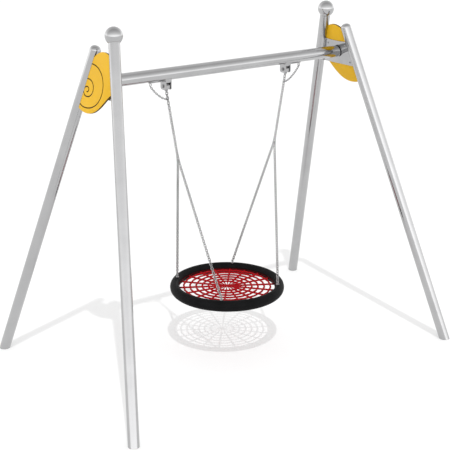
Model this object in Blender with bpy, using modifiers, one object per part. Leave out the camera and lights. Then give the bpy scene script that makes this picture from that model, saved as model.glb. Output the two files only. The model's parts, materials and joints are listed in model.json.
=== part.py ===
"""Nest swing: two leaning tube frames, one beam, two chain hangers and a round net seat.

Metres, +Z up. X runs along the beam, Y is the way the seat swings, and the origin is on the
ground under the middle of the seat. The right half is the left half turned half round about Z.
"""

import math

import bmesh
import bpy
from mathutils import Matrix, Vector

# Clearances
GAP = 0.0003
BOLT_CLEARANCE = 0.0004

# Frame legs
LEG_RADIUS = 0.04445
LEG_WALL = 0.003
FOOT_X = 1.647
FOOT_Y = 1.073
FRAME_TOP_X = 1.2021
FRAME_TOP_Y = 0.2210
FOOT_PLUG = 0.030
BALL_RADIUS = 0.0705
BALL_ABOVE_BEAM = 0.3646
DOME_ABOVE_BEAM = 0.2595
DOME_RISE = 0.034
SPIGOT_LENGTH = 0.050

# Beam and the plates that hold it
BEAM_HEIGHT = 2.494
BEAM_RADIUS = 0.0508
BEAM_WALL = 0.0036
GUSSET_THICKNESS = 0.008
GUSSET_ABOVE_BEAM = 0.100
GUSSET_BELOW_BEAM = 0.112
GUSSET_TOP_DIP = 0.008
GASKET_RADIUS = 0.0522
GASKET_THICKNESS = 0.006
END_PLATE_RADIUS = 0.0518
END_PLATE_THICKNESS = 0.010
BEAM_BOLT_RADIUS = 0.010
BEAM_BOLT_HEAD_RADIUS = 0.0165
BEAM_BOLT_HEAD_HEIGHT = 0.0095
BEAM_BOLT_GRIP = 0.030

# Yellow panel, heights measured up the lean from the beam
PANEL_THICKNESS = 0.019
PANEL_DOME_TOP_RISE = 0.1735
PANEL_BROW_RISE = 0.2285
PANEL_CROWN_RISE = 0.2545
PANEL_BALL_TOP_RISE = 0.2170
PANEL_BALL_BOTTOM_DROP = 0.0666
PANEL_SHOULDER_DROP = 0.1206
PANEL_BELLY_DROP = 0.3275
PANEL_DOME_BOTTOM_DROP = 0.2411
PANEL_BOLT_RADIUS = 0.004
PANEL_BOLT_HEAD_RADIUS = 0.008
PANEL_BOLT_HEAD_HEIGHT = 0.005
PANEL_BOLT_DEPTH = 0.012
PANEL_BOLT_INSET = 0.045
PANEL_BOLT_EDGE = 0.030
POCKET_DEPTH = 0.0125

# Hanger under the beam
HANGER_X = 0.611
PIVOT_BELOW_BEAM = 0.094
CHEEK_THICKNESS = 0.008
CHEEK_WIDTH = 0.077
CHEEK_BELOW_PIVOT = 0.031
CHEEK_CORNER = 0.020
HANGER_WIDTH = 0.058
HANGER_WEB = 0.007
PIVOT_RADIUS = 0.008
PIVOT_HEAD_RADIUS = 0.014
PIVOT_HEAD_HEIGHT = 0.009
PIVOT_NUT_HEIGHT = 0.012
BUSH_WALL = 0.004
BLOCK_RADIUS = 0.0205
BLOCK_WIDTH = 0.034
BLOCK_DEPTH = 0.060
BLOCK_ABOVE_PIVOT = 0.006
BLOCK_BELOW_PIVOT = 0.026
LUG_THICKNESS = 0.014
LUG_WIDTH = 0.026
LUG_BELOW_PIVOT = 0.040

# Chains
CHAIN_WIDE = 0.0205
CHAIN_NARROW = 0.0065
CHAIN_STEP = 0.042
SPLIT_BELOW_PIVOT = 0.617
SPLIT_RING_RADIUS = 0.016
SPLIT_WIRE = 0.0045

# Safety chain beside each hanger
SAFETY_EYE_OUT = 0.147
SAFETY_BAR_WIDTH = 0.024
SAFETY_BAR_THICKNESS = 0.007
SAFETY_BAR_END = 0.018
SAFETY_EYE_RADIUS = 0.0095
SAFETY_EYE_WIRE = 0.0035
SAFETY_JOIN_BELOW_PIVOT = 0.108
SAFETY_SAG = 0.032
SAFETY_STEPS = 10

# Seat
RIM_OUTER_RADIUS = 0.500
RIM_WIDTH = 0.080
RIM_HEIGHT = 0.098
RIM_CENTRE_HEIGHT = 0.545
CORE_RADIUS = 0.0213
ANCHOR_INSIDE_RIM = 0.012
ANCHOR_ANGLE = math.radians(47.3)
STUD_RADIUS = 0.006
COLLAR_RADIUS = 0.014
COLLAR_HEIGHT = 0.005
EYE_RADIUS = 0.010
EYE_WIRE = 0.0035
ROPE = 0.014
NET_SPOKES = 18
NET_RINGS = 6
NET_EDGE_GAP = 0.052
SLOT_CLEARANCE = 0.0008

# Facets
TUBE_SIDES = 24
BALL_STEPS = 10
SMALL_SIDES = 12
SEAT_STEPS = 40

# Values that follow from the sizes above; a leg's line passes FRAME_TOP_X and _Y at beam height
LEAN_IN = (FOOT_X - FRAME_TOP_X) / BEAM_HEIGHT
SPREAD_IN = (FOOT_Y - FRAME_TOP_Y) / BEAM_HEIGHT
BALL_CENTRE_HEIGHT = BEAM_HEIGHT + BALL_ABOVE_BEAM
DOME_TOP_HEIGHT = BEAM_HEIGHT + DOME_ABOVE_BEAM
PIVOT_HEIGHT = BEAM_HEIGHT - PIVOT_BELOW_BEAM
SPLIT_HEIGHT = PIVOT_HEIGHT - SPLIT_BELOW_PIVOT
RIM_RADIUS = RIM_OUTER_RADIUS - RIM_WIDTH / 2
ANCHOR_RADIUS = RIM_RADIUS - ANCHOR_INSIDE_RIM
NET_REACH = RIM_RADIUS - CORE_RADIUS - GAP
NET_RING_STEP = (NET_REACH - NET_EDGE_GAP) / (NET_RINGS + 1)
RIM_TOP = RIM_CENTRE_HEIGHT + RIM_HEIGHT / 2
COLLAR_LOW = RIM_TOP + GAP
COLLAR_HIGH = COLLAR_LOW + COLLAR_HEIGHT
EYE_HEIGHT = COLLAR_HIGH + EYE_RADIUS + EYE_WIRE / 2
CHAIN_LEAN = (HANGER_X - ANCHOR_RADIUS * math.cos(ANCHOR_ANGLE)) / (PIVOT_HEIGHT - EYE_HEIGHT)
LEG_BORE = LEG_RADIUS - LEG_WALL
LEG_SLOPE = math.sqrt(1 + LEAN_IN**2 + SPREAD_IN**2)
PLANE_SLOPE = math.sqrt(1 + LEAN_IN**2)
SIDE_SLOPE = SPREAD_IN / PLANE_SLOPE
SIDE_STRETCH = math.sqrt(1 + SIDE_SLOPE**2)
BEAM_UP_LEAN = BEAM_HEIGHT * PLANE_SLOPE
PANEL_DOME_TOP = BEAM_UP_LEAN + PANEL_DOME_TOP_RISE
PANEL_BROW = BEAM_UP_LEAN + PANEL_BROW_RISE
PANEL_BALL_TOP = BEAM_UP_LEAN + PANEL_BALL_TOP_RISE
PANEL_CROWN = BEAM_UP_LEAN + PANEL_CROWN_RISE
PANEL_BALL_BOTTOM = BEAM_UP_LEAN - PANEL_BALL_BOTTOM_DROP
PANEL_DOME_BOTTOM = BEAM_UP_LEAN - PANEL_DOME_BOTTOM_DROP
PANEL_BELLY = BEAM_UP_LEAN - PANEL_BELLY_DROP
PANEL_BALL_SHOULDER = BEAM_UP_LEAN - PANEL_SHOULDER_DROP
BALL_SEAT = math.sqrt(BALL_RADIUS**2 - LEG_RADIUS**2)
PANEL_FACE = GUSSET_THICKNESS / 2 + GAP
GASKET_FACE = GUSSET_THICKNESS / 2 + GAP
END_PLATE_FACE = GASKET_FACE + GASKET_THICKNESS + GAP
BEAM_FACE = END_PLATE_FACE + END_PLATE_THICKNESS + GAP
PIVOT_BUSH_RADIUS = PIVOT_RADIUS + BUSH_WALL
SPLIT_REACH = SPLIT_RING_RADIUS + SPLIT_WIRE + GAP
HANGER_INSIDE = HANGER_WIDTH - 2 * CHEEK_THICKNESS
FAR = 5.0

parts = bpy.data.collections.new("nest_swing")
cutters = bpy.data.collections.new("nest_swing_cutters")


def clear_scene():
    for old in list(bpy.data.objects):
        bpy.data.objects.remove(old, do_unlink=True)
    bpy.context.scene.collection.children.link(parts)
    bpy.context.scene.collection.children.link(cutters)


def finish_material(name, colour, roughness, metallic):
    material = bpy.data.materials.new(name)
    material.use_nodes = True
    shader = material.node_tree.nodes["Principled BSDF"]
    shader.inputs["Base Color"].default_value = (*colour, 1.0)
    shader.inputs["Roughness"].default_value = roughness
    shader.inputs["Metallic"].default_value = metallic
    return material


def empty(name, matrix, parent=None):
    holder = bpy.data.objects.new(name, None)
    parts.objects.link(holder)
    holder.parent = parent
    holder.matrix_local = matrix
    return holder


def add_part(name, mesh, material, parent=None, matrix=None, smooth=True):
    part = bpy.data.objects.new(name, mesh)
    parts.objects.link(part)
    mesh.materials.append(material)
    part.parent = parent
    part.matrix_local = matrix or Matrix()
    if smooth:
        mesh.shade_smooth()
        mesh.set_sharp_from_angle(angle=math.radians(35))
    return part


def add_cutter(name, mesh, parent=None, matrix=None):
    cutter = bpy.data.objects.new(name, mesh)
    cutters.objects.link(cutter)
    cutter.parent = parent
    cutter.matrix_local = matrix or Matrix()
    cutter.hide_render = True
    cutter.display_type = "WIRE"
    return cutter


def cut(part, cutter, operation="DIFFERENCE"):
    modifier = part.modifiers.new(f"{operation.lower()}_{cutter.name}", "BOOLEAN")
    modifier.operation = operation
    modifier.object = cutter


def mesh_from(name, work):
    mesh = bpy.data.meshes.new(name)
    work.to_mesh(mesh)
    work.free()
    return mesh


def cylinder_mesh(name, radius, low, high, sides):
    """A closed cylinder on local Z from low to high."""
    work = bmesh.new()
    bmesh.ops.create_cone(
        work, cap_ends=True, segments=sides, radius1=radius, radius2=radius, depth=high - low
    )
    bmesh.ops.translate(work, verts=work.verts, vec=(0, 0, (low + high) / 2))
    return mesh_from(name, work)


def box_mesh(name, low, high):
    work = bmesh.new()
    bmesh.ops.create_cube(work, size=1.0)
    size = [b - a for a, b in zip(low, high)]
    middle = [(a + b) / 2 for a, b in zip(low, high)]
    bmesh.ops.scale(work, verts=work.verts, vec=size)
    bmesh.ops.translate(work, verts=work.verts, vec=middle)
    return mesh_from(name, work)


def turned(name, profile, material, steps, closed=False, parent=None, matrix=None):
    """A profile of (radius, height) points, turned about local Z by a Screw modifier."""
    points = [(r, 0.0, z) for r, z in profile]
    edges = [(i, i + 1) for i in range(len(points) - 1)]
    if closed:
        edges.append((len(points) - 1, 0))
    mesh = bpy.data.meshes.new(name)
    mesh.from_pydata(points, edges, [])
    part = add_part(name, mesh, material, parent, matrix, smooth=False)
    screw = part.modifiers.new("turn", "SCREW")
    screw.steps = steps
    screw.render_steps = steps
    screw.use_merge_vertices = True
    screw.merge_threshold = 0.00001
    return part


def torus_mesh(name, ring, wire, ring_steps, wire_steps):
    """A closed ring about local Z: a circle of wire turned through a whole turn."""
    points = []
    faces = []
    for i in range(ring_steps):
        turn = 2 * math.pi * i / ring_steps
        for j in range(wire_steps):
            around = 2 * math.pi * j / wire_steps
            radius = ring + wire * math.cos(around)
            points.append((radius * math.cos(turn), radius * math.sin(turn), wire * math.sin(around)))
            k, m = (i + 1) % ring_steps, (j + 1) % wire_steps
            faces.append((i * wire_steps + j, k * wire_steps + j, k * wire_steps + m, i * wire_steps + m))
    mesh = bpy.data.meshes.new(name)
    mesh.from_pydata(points, [], faces)
    return mesh


def outline_mesh(name, outlines, low, high):
    """Flat outlines in local X and Y, filled and extruded between two heights."""
    curve = bpy.data.curves.new(name, "CURVE")
    curve.dimensions = "2D"
    curve.fill_mode = "BOTH"
    curve.extrude = (high - low) / 2
    for outline in outlines:
        spline = curve.splines.new("POLY")
        spline.points.add(len(outline) - 1)
        for point, (x, y) in zip(spline.points, outline):
            point.co = (x, y, 0, 1)
        spline.use_cyclic_u = True
    holder = bpy.data.objects.new(f"{name}_outline", curve)
    cutters.objects.link(holder)
    seen = holder.evaluated_get(bpy.context.evaluated_depsgraph_get())
    mesh = bpy.data.meshes.new_from_object(seen)
    bpy.data.objects.remove(holder, do_unlink=True)
    work = bmesh.new()
    work.from_mesh(mesh)
    bmesh.ops.remove_doubles(work, verts=work.verts, dist=0.00001)
    bmesh.ops.translate(work, verts=work.verts, vec=(0, 0, (low + high) / 2))
    bmesh.ops.recalc_face_normals(work, faces=work.faces)
    work.to_mesh(mesh)
    work.free()
    return mesh


def bezier(start, handle_a, handle_b, end, count):
    """Points of a cubic Bezier curve, both ends included."""
    points = []
    for i in range(count):
        t = i / (count - 1)
        weights = ((1 - t) ** 3, 3 * t * (1 - t) ** 2, 3 * t * t * (1 - t), t**3)
        points.append(
            tuple(
                sum(w * p[axis] for w, p in zip(weights, (start, handle_a, handle_b, end)))
                for axis in range(len(start))
            )
        )
    return points


def chain_mesh(name, route, first_wide_across, level=Vector((1, 0, 0))):
    """A chain's outer shape: a bar whose wide and narrow sides change places at each step.

    One side of each section is square to the level direction.
    """
    points = []
    faces = []
    count = len(route)
    for i, here in enumerate(route):
        before = Vector(route[max(i - 1, 0)])
        after = Vector(route[min(i + 1, count - 1)])
        along = (after - before).normalized()
        across = level.cross(along).normalized()
        side = along.cross(across)
        wide_across = (i % 2 == 0) == first_wide_across
        a = (CHAIN_WIDE if wide_across else CHAIN_NARROW) / 2
        b = (CHAIN_NARROW if wide_across else CHAIN_WIDE) / 2
        for u, v in ((a, b), (-a, b), (-a, -b), (a, -b)):
            points.append(Vector(here) + across * u + side * v)
    for i in range(count - 1):
        for j in range(4):
            k = (j + 1) % 4
            faces.append((4 * i + j, 4 * i + k, 4 * i + 4 + k, 4 * i + 4 + j))
    faces.append((3, 2, 1, 0))
    end = 4 * (count - 1)
    faces.append((end, end + 1, end + 2, end + 3))
    work = bmesh.new()
    verts = [work.verts.new(p) for p in points]
    for face in faces:
        work.faces.new([verts[i] for i in face])
    bmesh.ops.recalc_face_normals(work, faces=work.faces)
    return mesh_from(name, work)


def straight_route(start, end):
    """Points from start to end, about one chain step apart."""
    start, end = Vector(start), Vector(end)
    count = max(2, round((end - start).length / CHAIN_STEP))
    return [start.lerp(end, i / count) for i in range(count + 1)]


def chain_x(height):
    """Distance out from the middle of the line that both stretches of one side hang on."""
    return HANGER_X - CHAIN_LEAN * (PIVOT_HEIGHT - height)


def leg_side(up_lean, clear):
    """Half the width between the two legs of a frame, at a height up the lean, less a clearance."""
    return FOOT_Y - SIDE_SLOPE * up_lean - clear * SIDE_STRETCH


def build_leg(name, toward, top, parent):
    """A leaning tube, cut level at the ground and closed there by a plug."""
    direction = Vector((LEAN_IN, -toward * SPREAD_IN, 1)).normalized()
    matrix = direction.to_track_quat("Z", "Y").to_matrix().to_4x4()
    matrix.translation = (-FOOT_X, toward * FOOT_Y, 0)
    below = 2 * LEG_RADIUS
    leg = add_part(
        name, cylinder_mesh(name, LEG_RADIUS, -below, top, TUBE_SIDES), steel, parent, matrix
    )
    bore = cylinder_mesh(f"{name}_bore", LEG_BORE, FOOT_PLUG, top + below, TUBE_SIDES)
    cut(leg, add_cutter(f"{name}_bore", bore, parent, matrix))
    ground = box_mesh(f"{name}_ground", (-FAR, -FAR, -FAR), (FAR, FAR, 0))
    cut(leg, add_cutter(f"{name}_ground", ground, parent))
    return matrix


def arc(radius, start, end, count, centre=(0.0, 0.0)):
    """Points on a circle of (radius, height) from one angle to another, in degrees."""
    angles = [math.radians(start + (end - start) * i / (count - 1)) for i in range(count)]
    return [(centre[0] + radius * math.cos(a), centre[1] + radius * math.sin(a)) for a in angles]


def build_caps(side, parent):
    ball_centre = BALL_CENTRE_HEIGHT * LEG_SLOPE
    ball_leg_top = ball_centre - BALL_SEAT - GAP
    matrix = build_leg(f"{side}_ball_leg", -1, ball_leg_top, parent)
    spigot = LEG_BORE - GAP
    seat_angle = math.degrees(math.asin(BALL_SEAT / BALL_RADIUS))
    profile = arc(BALL_RADIUS, 90, -seat_angle, BALL_STEPS, (0.0, ball_centre))
    profile[0] = (0.0, ball_centre + BALL_RADIUS)
    profile += [(spigot, ball_centre - BALL_SEAT)]
    profile += [(spigot, ball_leg_top - SPIGOT_LENGTH), (0.0, ball_leg_top - SPIGOT_LENGTH)]
    turned(f"{side}_ball_cap", profile, steel, TUBE_SIDES, parent=parent, matrix=matrix)

    dome_seat = DOME_TOP_HEIGHT * LEG_SLOPE - DOME_RISE
    dome_leg_top = dome_seat - GAP
    matrix = build_leg(f"{side}_dome_leg", 1, dome_leg_top, parent)
    profile = [(r, dome_seat + z * DOME_RISE / LEG_RADIUS) for r, z in arc(LEG_RADIUS, 90, 0, 7)]
    profile[0] = (0.0, dome_seat + DOME_RISE)
    profile += [(spigot, dome_seat)]
    profile += [(spigot, dome_leg_top - SPIGOT_LENGTH), (0.0, dome_leg_top - SPIGOT_LENGTH)]
    turned(f"{side}_dome_cap", profile, steel, TUBE_SIDES, parent=parent, matrix=matrix)


def frame_plane(side, parent):
    """Local X is +Y, local Y runs up the lean, local Z points in, along the beam."""
    across = Vector((0, 1, 0))
    up = Vector((LEAN_IN, 0, 1)).normalized()
    matrix = Matrix((across, up, across.cross(up))).transposed().to_4x4()
    matrix.translation = (-FOOT_X, 0, 0)
    return empty(f"{side}_frame_plane", matrix, parent)


def panel_bolt_places():
    low = BEAM_UP_LEAN - GUSSET_BELOW_BEAM + PANEL_BOLT_EDGE
    high = BEAM_UP_LEAN + GUSSET_ABOVE_BEAM - GUSSET_TOP_DIP - PANEL_BOLT_EDGE
    for up_name, up in (("upper", high), ("lower", low)):
        out = leg_side(up, LEG_RADIUS) - PANEL_BOLT_INSET
        yield f"{up_name}_ball_side", -out, up
        yield f"{up_name}_dome_side", out, up


def headed_bolt(name, head_radius, head_low, head_high, radius, low, high, parent, matrix=None):
    """A round shank on local Z joined to a six-sided or round head by a union."""
    bolt = add_part(name, cylinder_mesh(name, radius, low, high, SMALL_SIDES), zinc, parent, matrix)
    head = cylinder_mesh(f"{name}_head", head_radius, head_low, head_high, 6)
    cut(bolt, add_cutter(f"{name}_head", head, parent, matrix), "UNION")
    return bolt


def build_end(side, parent):
    """The gusset plate, the panel on its outer face and the beam's fixing on its inner face."""
    plane = frame_plane(side, parent)
    low = BEAM_UP_LEAN - GUSSET_BELOW_BEAM
    high = BEAM_UP_LEAN + GUSSET_ABOVE_BEAM
    clear = LEG_RADIUS + GAP
    half_low, half_high = leg_side(low, clear), leg_side(high, clear)
    top_edge = bezier(
        (half_high, high),
        (half_high / 3, high - GUSSET_TOP_DIP),
        (-half_high / 3, high - GUSSET_TOP_DIP),
        (-half_high, high),
        7,
    )
    half = GUSSET_THICKNESS / 2
    gusset_outline = [(-half_low, low), (half_low, low), *top_edge]
    gusset = add_part(
        f"{side}_gusset", outline_mesh(f"{side}_gusset", [gusset_outline], -half, half), steel, plane
    )

    top = bezier(
        (leg_side(PANEL_DOME_TOP, clear), PANEL_DOME_TOP),
        (leg_side(PANEL_DOME_TOP, clear) / 2, PANEL_BROW),
        (-leg_side(PANEL_BALL_TOP, clear) / 4, PANEL_CROWN),
        (-leg_side(PANEL_BALL_TOP, clear), PANEL_BALL_TOP),
        10,
    )
    bottom = bezier(
        (-leg_side(PANEL_BALL_BOTTOM, clear), PANEL_BALL_BOTTOM),
        (-leg_side(PANEL_BALL_BOTTOM, clear) / 2, PANEL_BALL_SHOULDER),
        (0.0, PANEL_BELLY),
        (leg_side(PANEL_DOME_BOTTOM, clear), PANEL_DOME_BOTTOM),
        12,
    )
    panel = add_part(
        f"{side}_panel",
        outline_mesh(f"{side}_panel", [top + bottom], -PANEL_FACE - PANEL_THICKNESS, -PANEL_FACE),
        yellow,
        plane,
    )

    hole = PANEL_BOLT_RADIUS + BOLT_CLEARANCE
    tip = -PANEL_FACE - PANEL_BOLT_DEPTH
    for place, across, up in panel_bolt_places():
        name = f"{side}_panel_bolt_{place}"
        matrix = Matrix.Translation((across, up, 0))
        face = half + GAP
        head_top = face + PANEL_BOLT_HEAD_HEIGHT
        headed_bolt(
            name, PANEL_BOLT_HEAD_RADIUS, face, head_top, PANEL_BOLT_RADIUS, tip, face + GAP, plane, matrix
        )
        drill = cylinder_mesh(f"{name}_hole", hole, tip - BOLT_CLEARANCE, head_top, SMALL_SIDES)
        drill = add_cutter(f"{name}_hole", drill, plane, matrix)
        cut(gusset, drill)
        cut(panel, drill)

    middle = Matrix.Translation((0, BEAM_UP_LEAN, 0))
    hole = BEAM_BOLT_RADIUS + BOLT_CLEARANCE
    drill = cylinder_mesh(f"{side}_beam_hole", hole, -half - FAR, BEAM_FACE + FAR, SMALL_SIDES)
    drill = add_cutter(f"{side}_beam_hole", drill, plane, middle)
    cut(gusset, drill)
    gasket_high = GASKET_FACE + GASKET_THICKNESS
    gasket = cylinder_mesh(f"{side}_beam_gasket", GASKET_RADIUS, GASKET_FACE, gasket_high, TUBE_SIDES)
    cut(add_part(f"{side}_beam_gasket", gasket, rubber, plane, middle), drill)
    plate_high = END_PLATE_FACE + END_PLATE_THICKNESS
    plate = cylinder_mesh(f"{side}_beam_end_plate", END_PLATE_RADIUS, END_PLATE_FACE, plate_high, TUBE_SIDES)
    cut(add_part(f"{side}_beam_end_plate", plate, steel, plane, middle), drill)
    head = -half - GAP
    headed_bolt(
        f"{side}_beam_bolt",
        BEAM_BOLT_HEAD_RADIUS,
        head - BEAM_BOLT_HEAD_HEIGHT,
        head,
        BEAM_BOLT_RADIUS,
        head - GAP,
        BEAM_BOLT_GRIP,
        plane,
        middle,
    )
    pocket_radius = BEAM_BOLT_HEAD_RADIUS + 2 * BOLT_CLEARANCE
    pocket = cylinder_mesh(f"{side}_pocket", pocket_radius, -half - POCKET_DEPTH, 0, SMALL_SIDES)
    cut(panel, add_cutter(f"{side}_pocket", pocket, plane, middle))
    return plane


def build_beam(planes):
    length = FOOT_X
    along = Matrix.Rotation(math.pi / 2, 4, "Y")
    along.translation = (0, 0, BEAM_HEIGHT)
    beam = add_part("beam", cylinder_mesh("beam", BEAM_RADIUS, -length, length, TUBE_SIDES), steel, None, along)
    bore = cylinder_mesh("beam_bore", BEAM_RADIUS - BEAM_WALL, -2 * length, 2 * length, TUBE_SIDES)
    cut(beam, add_cutter("beam_bore", bore, None, along))
    for number, plane in enumerate(planes):
        end = box_mesh(f"beam_end_{number}", (-FAR, -FAR, -FAR), (FAR, FAR, BEAM_FACE))
        cut(beam, add_cutter(f"beam_end_{number}", end, plane))


def build_hanger(side, parent):
    """Two cheeks and a web, coped to the beam, with the pivot bolt, its nut and its bush."""
    upright = Matrix(((0, 0, 1), (1, 0, 0), (0, 1, 0))).to_4x4()
    upright.translation = (-HANGER_X, 0, PIVOT_HEIGHT)
    plane = empty(f"{side}_hanger_plane", upright, parent)
    half = CHEEK_WIDTH / 2
    low = -CHEEK_BELOW_PIVOT
    high = BEAM_HEIGHT - PIVOT_HEIGHT
    corner = CHEEK_CORNER
    outline = arc(corner, 180, 270, 5, (-half + corner, low + corner))
    outline += arc(corner, 270, 360, 5, (half - corner, low + corner))
    outline += [(half, high), (-half, high)]
    out = HANGER_WIDTH / 2
    inside = HANGER_INSIDE / 2
    hanger = add_part(
        f"{side}_hanger", outline_mesh(f"{side}_hanger", [outline], -out, -inside), steel, plane
    )
    cheek = outline_mesh(f"{side}_cheek", [outline], inside, out)
    cut(hanger, add_cutter(f"{side}_cheek", cheek, plane), "UNION")
    web_low = high - BEAM_RADIUS - HANGER_WEB
    overlap = CHEEK_THICKNESS / 2
    web = box_mesh(f"{side}_web", (-half, web_low, -inside - overlap), (half, high, inside + overlap))
    cut(hanger, add_cutter(f"{side}_web", web, plane), "UNION")
    cope = cylinder_mesh(f"{side}_cope", BEAM_RADIUS + GAP, -2 * out, 2 * out, 2 * TUBE_SIDES)
    cut(hanger, add_cutter(f"{side}_cope", cope, plane, Matrix.Translation((0, high, 0))))
    hole = cylinder_mesh(f"{side}_pivot_hole", PIVOT_RADIUS + GAP, -2 * out, 2 * out, SMALL_SIDES)
    cut(hanger, add_cutter(f"{side}_pivot_hole", hole, plane))

    head = -out - GAP
    nut = out + GAP
    tip = nut + PIVOT_NUT_HEIGHT + PIVOT_RADIUS / 2
    headed_bolt(
        f"{side}_pivot_bolt",
        PIVOT_HEAD_RADIUS,
        head - PIVOT_HEAD_HEIGHT,
        head,
        PIVOT_RADIUS,
        head - GAP,
        tip,
        plane,
    )
    nut_mesh = cylinder_mesh(f"{side}_pivot_nut", PIVOT_HEAD_RADIUS, nut, nut + PIVOT_NUT_HEIGHT, 6)
    nut_part = add_part(f"{side}_pivot_nut", nut_mesh, zinc, plane)
    thread = cylinder_mesh(f"{side}_nut_hole", PIVOT_RADIUS + GAP, out, tip + nut, SMALL_SIDES)
    cut(nut_part, add_cutter(f"{side}_nut_hole", thread, plane))
    reach = inside - GAP
    bush = cylinder_mesh(f"{side}_pivot_bush", PIVOT_BUSH_RADIUS, -reach, reach, TUBE_SIDES)
    bush_part = add_part(f"{side}_pivot_bush", bush, nylon, plane)
    bore = cylinder_mesh(f"{side}_bush_bore", PIVOT_RADIUS + GAP, -out, out, SMALL_SIDES)
    cut(bush_part, add_cutter(f"{side}_bush_bore", bore, plane))
    return plane


def build_upper_chain(side, parent, plane):
    """What turns on the pivot bolt: the block, round at the bolt, its lug, the chain and the split ring."""
    wide = BLOCK_WIDTH / 2
    block = cylinder_mesh(f"{side}_swing_block", BLOCK_RADIUS, -wide, wide, TUBE_SIDES)
    block = add_part(f"{side}_swing_block", block, steel, plane)
    half_deep = BLOCK_DEPTH / 2
    body = box_mesh(
        f"{side}_block_body", (-half_deep, -BLOCK_BELOW_PIVOT, -wide), (half_deep, BLOCK_ABOVE_PIVOT, wide)
    )
    cut(block, add_cutter(f"{side}_block_body", body, plane), "UNION")
    thick = LUG_THICKNESS / 2
    lug = box_mesh(
        f"{side}_lug", (-LUG_WIDTH / 2, -LUG_BELOW_PIVOT, -thick), (LUG_WIDTH / 2, 0, thick)
    )
    cut(block, add_cutter(f"{side}_lug", lug, plane), "UNION")
    bore = cylinder_mesh(f"{side}_block_bore", PIVOT_BUSH_RADIUS + GAP, -2 * wide, 2 * wide, TUBE_SIDES)
    cut(block, add_cutter(f"{side}_block_bore", bore, plane))

    split_place = Vector((-chain_x(SPLIT_HEIGHT), 0, SPLIT_HEIGHT))
    split = empty(f"{side}_split_pivot", Matrix.Translation(split_place), parent)
    top_height = PIVOT_HEIGHT - LUG_BELOW_PIVOT - GAP - CHAIN_NARROW / 2 * CHAIN_LEAN
    top = Vector((-chain_x(top_height), 0, top_height))
    bottom = split_place + (top - split_place).normalized() * SPLIT_REACH
    route = straight_route(top, bottom)
    add_part(f"{side}_upper_chain", chain_mesh(f"{side}_upper_chain", route, True), chain_steel, parent)
    ring = torus_mesh(f"{side}_split_ring", SPLIT_RING_RADIUS, SPLIT_WIRE, TUBE_SIDES, 6)
    add_part(f"{side}_split_ring", ring, chain_steel, split, Matrix.Rotation(math.pi / 2, 4, "Y"))
    return split


def build_safety(side, parent):
    """The flat bar under the beam, its eye, and the slack chain to the swing chain."""
    bar_high = BEAM_HEIGHT - BEAM_RADIUS - GAP
    bar_low = bar_high - SAFETY_BAR_THICKNESS
    eye_x = -HANGER_X - SAFETY_EYE_OUT
    inner = -HANGER_X - HANGER_WIDTH / 2 - GAP
    half = SAFETY_BAR_WIDTH / 2
    bar = box_mesh(f"{side}_safety_bar", (eye_x - SAFETY_BAR_END, -half, bar_low), (inner, half, bar_high))
    add_part(f"{side}_safety_bar", bar, steel, parent)
    eye_z = bar_low - GAP - SAFETY_EYE_RADIUS - SAFETY_EYE_WIRE
    eye = torus_mesh(f"{side}_safety_eye", SAFETY_EYE_RADIUS, SAFETY_EYE_WIRE, SMALL_SIDES, 6)
    turn = Matrix.Translation((eye_x, 0, eye_z)) @ Matrix.Rotation(math.pi / 2, 4, "X")
    add_part(f"{side}_safety_eye", eye, steel, parent, turn)
    join_height = PIVOT_HEIGHT - SAFETY_JOIN_BELOW_PIVOT
    end = (-chain_x(join_height) - CHAIN_WIDE / 2 - GAP, 0, join_height)
    run = end[0] - eye_x
    slant = run / 8
    corner = CHAIN_NARROW / 2 * slant / math.hypot(slant, SAFETY_SAG)
    start = (eye_x, 0, eye_z - SAFETY_EYE_RADIUS - SAFETY_EYE_WIRE - GAP - corner)
    route = bezier(
        start,
        (start[0] + slant, 0, start[2] - SAFETY_SAG),
        (end[0] - run / 3, 0, end[2] - SAFETY_SAG / 6),
        end,
        SAFETY_STEPS + 1,
    )
    mesh = chain_mesh(f"{side}_safety_chain", route, False, Vector((0, 1, 0)))
    add_part(f"{side}_safety_chain", mesh, chain_steel, parent)


def build_rim():
    """The steel ring, and the rubber cover with its bore and the slot for the net."""
    core = torus_mesh("rim_core", RIM_RADIUS, CORE_RADIUS, SEAT_STEPS, 10)
    level = Matrix.Translation((0, 0, RIM_CENTRE_HEIGHT))
    add_part("rim_core", core, steel, seat_home, level)
    slot = ROPE / 2 + SLOT_CLEARANCE
    bore = (CORE_RADIUS + GAP) / math.cos(math.pi / 10)
    outer_start = math.degrees(math.asin(slot / (RIM_HEIGHT / 2)))
    bore_start = math.degrees(math.asin(slot / bore))
    over = arc(1.0, 180 - outer_start, -180 + outer_start, 15)
    profile = [(RIM_RADIUS + c * RIM_WIDTH / 2, s * RIM_HEIGHT / 2) for c, s in over]
    profile += arc(bore, -180 + bore_start, 180 - bore_start, 11, (RIM_RADIUS, 0.0))
    cover = turned("rim_cover", profile, rubber, SEAT_STEPS, True, seat_home, level)
    return cover


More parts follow.
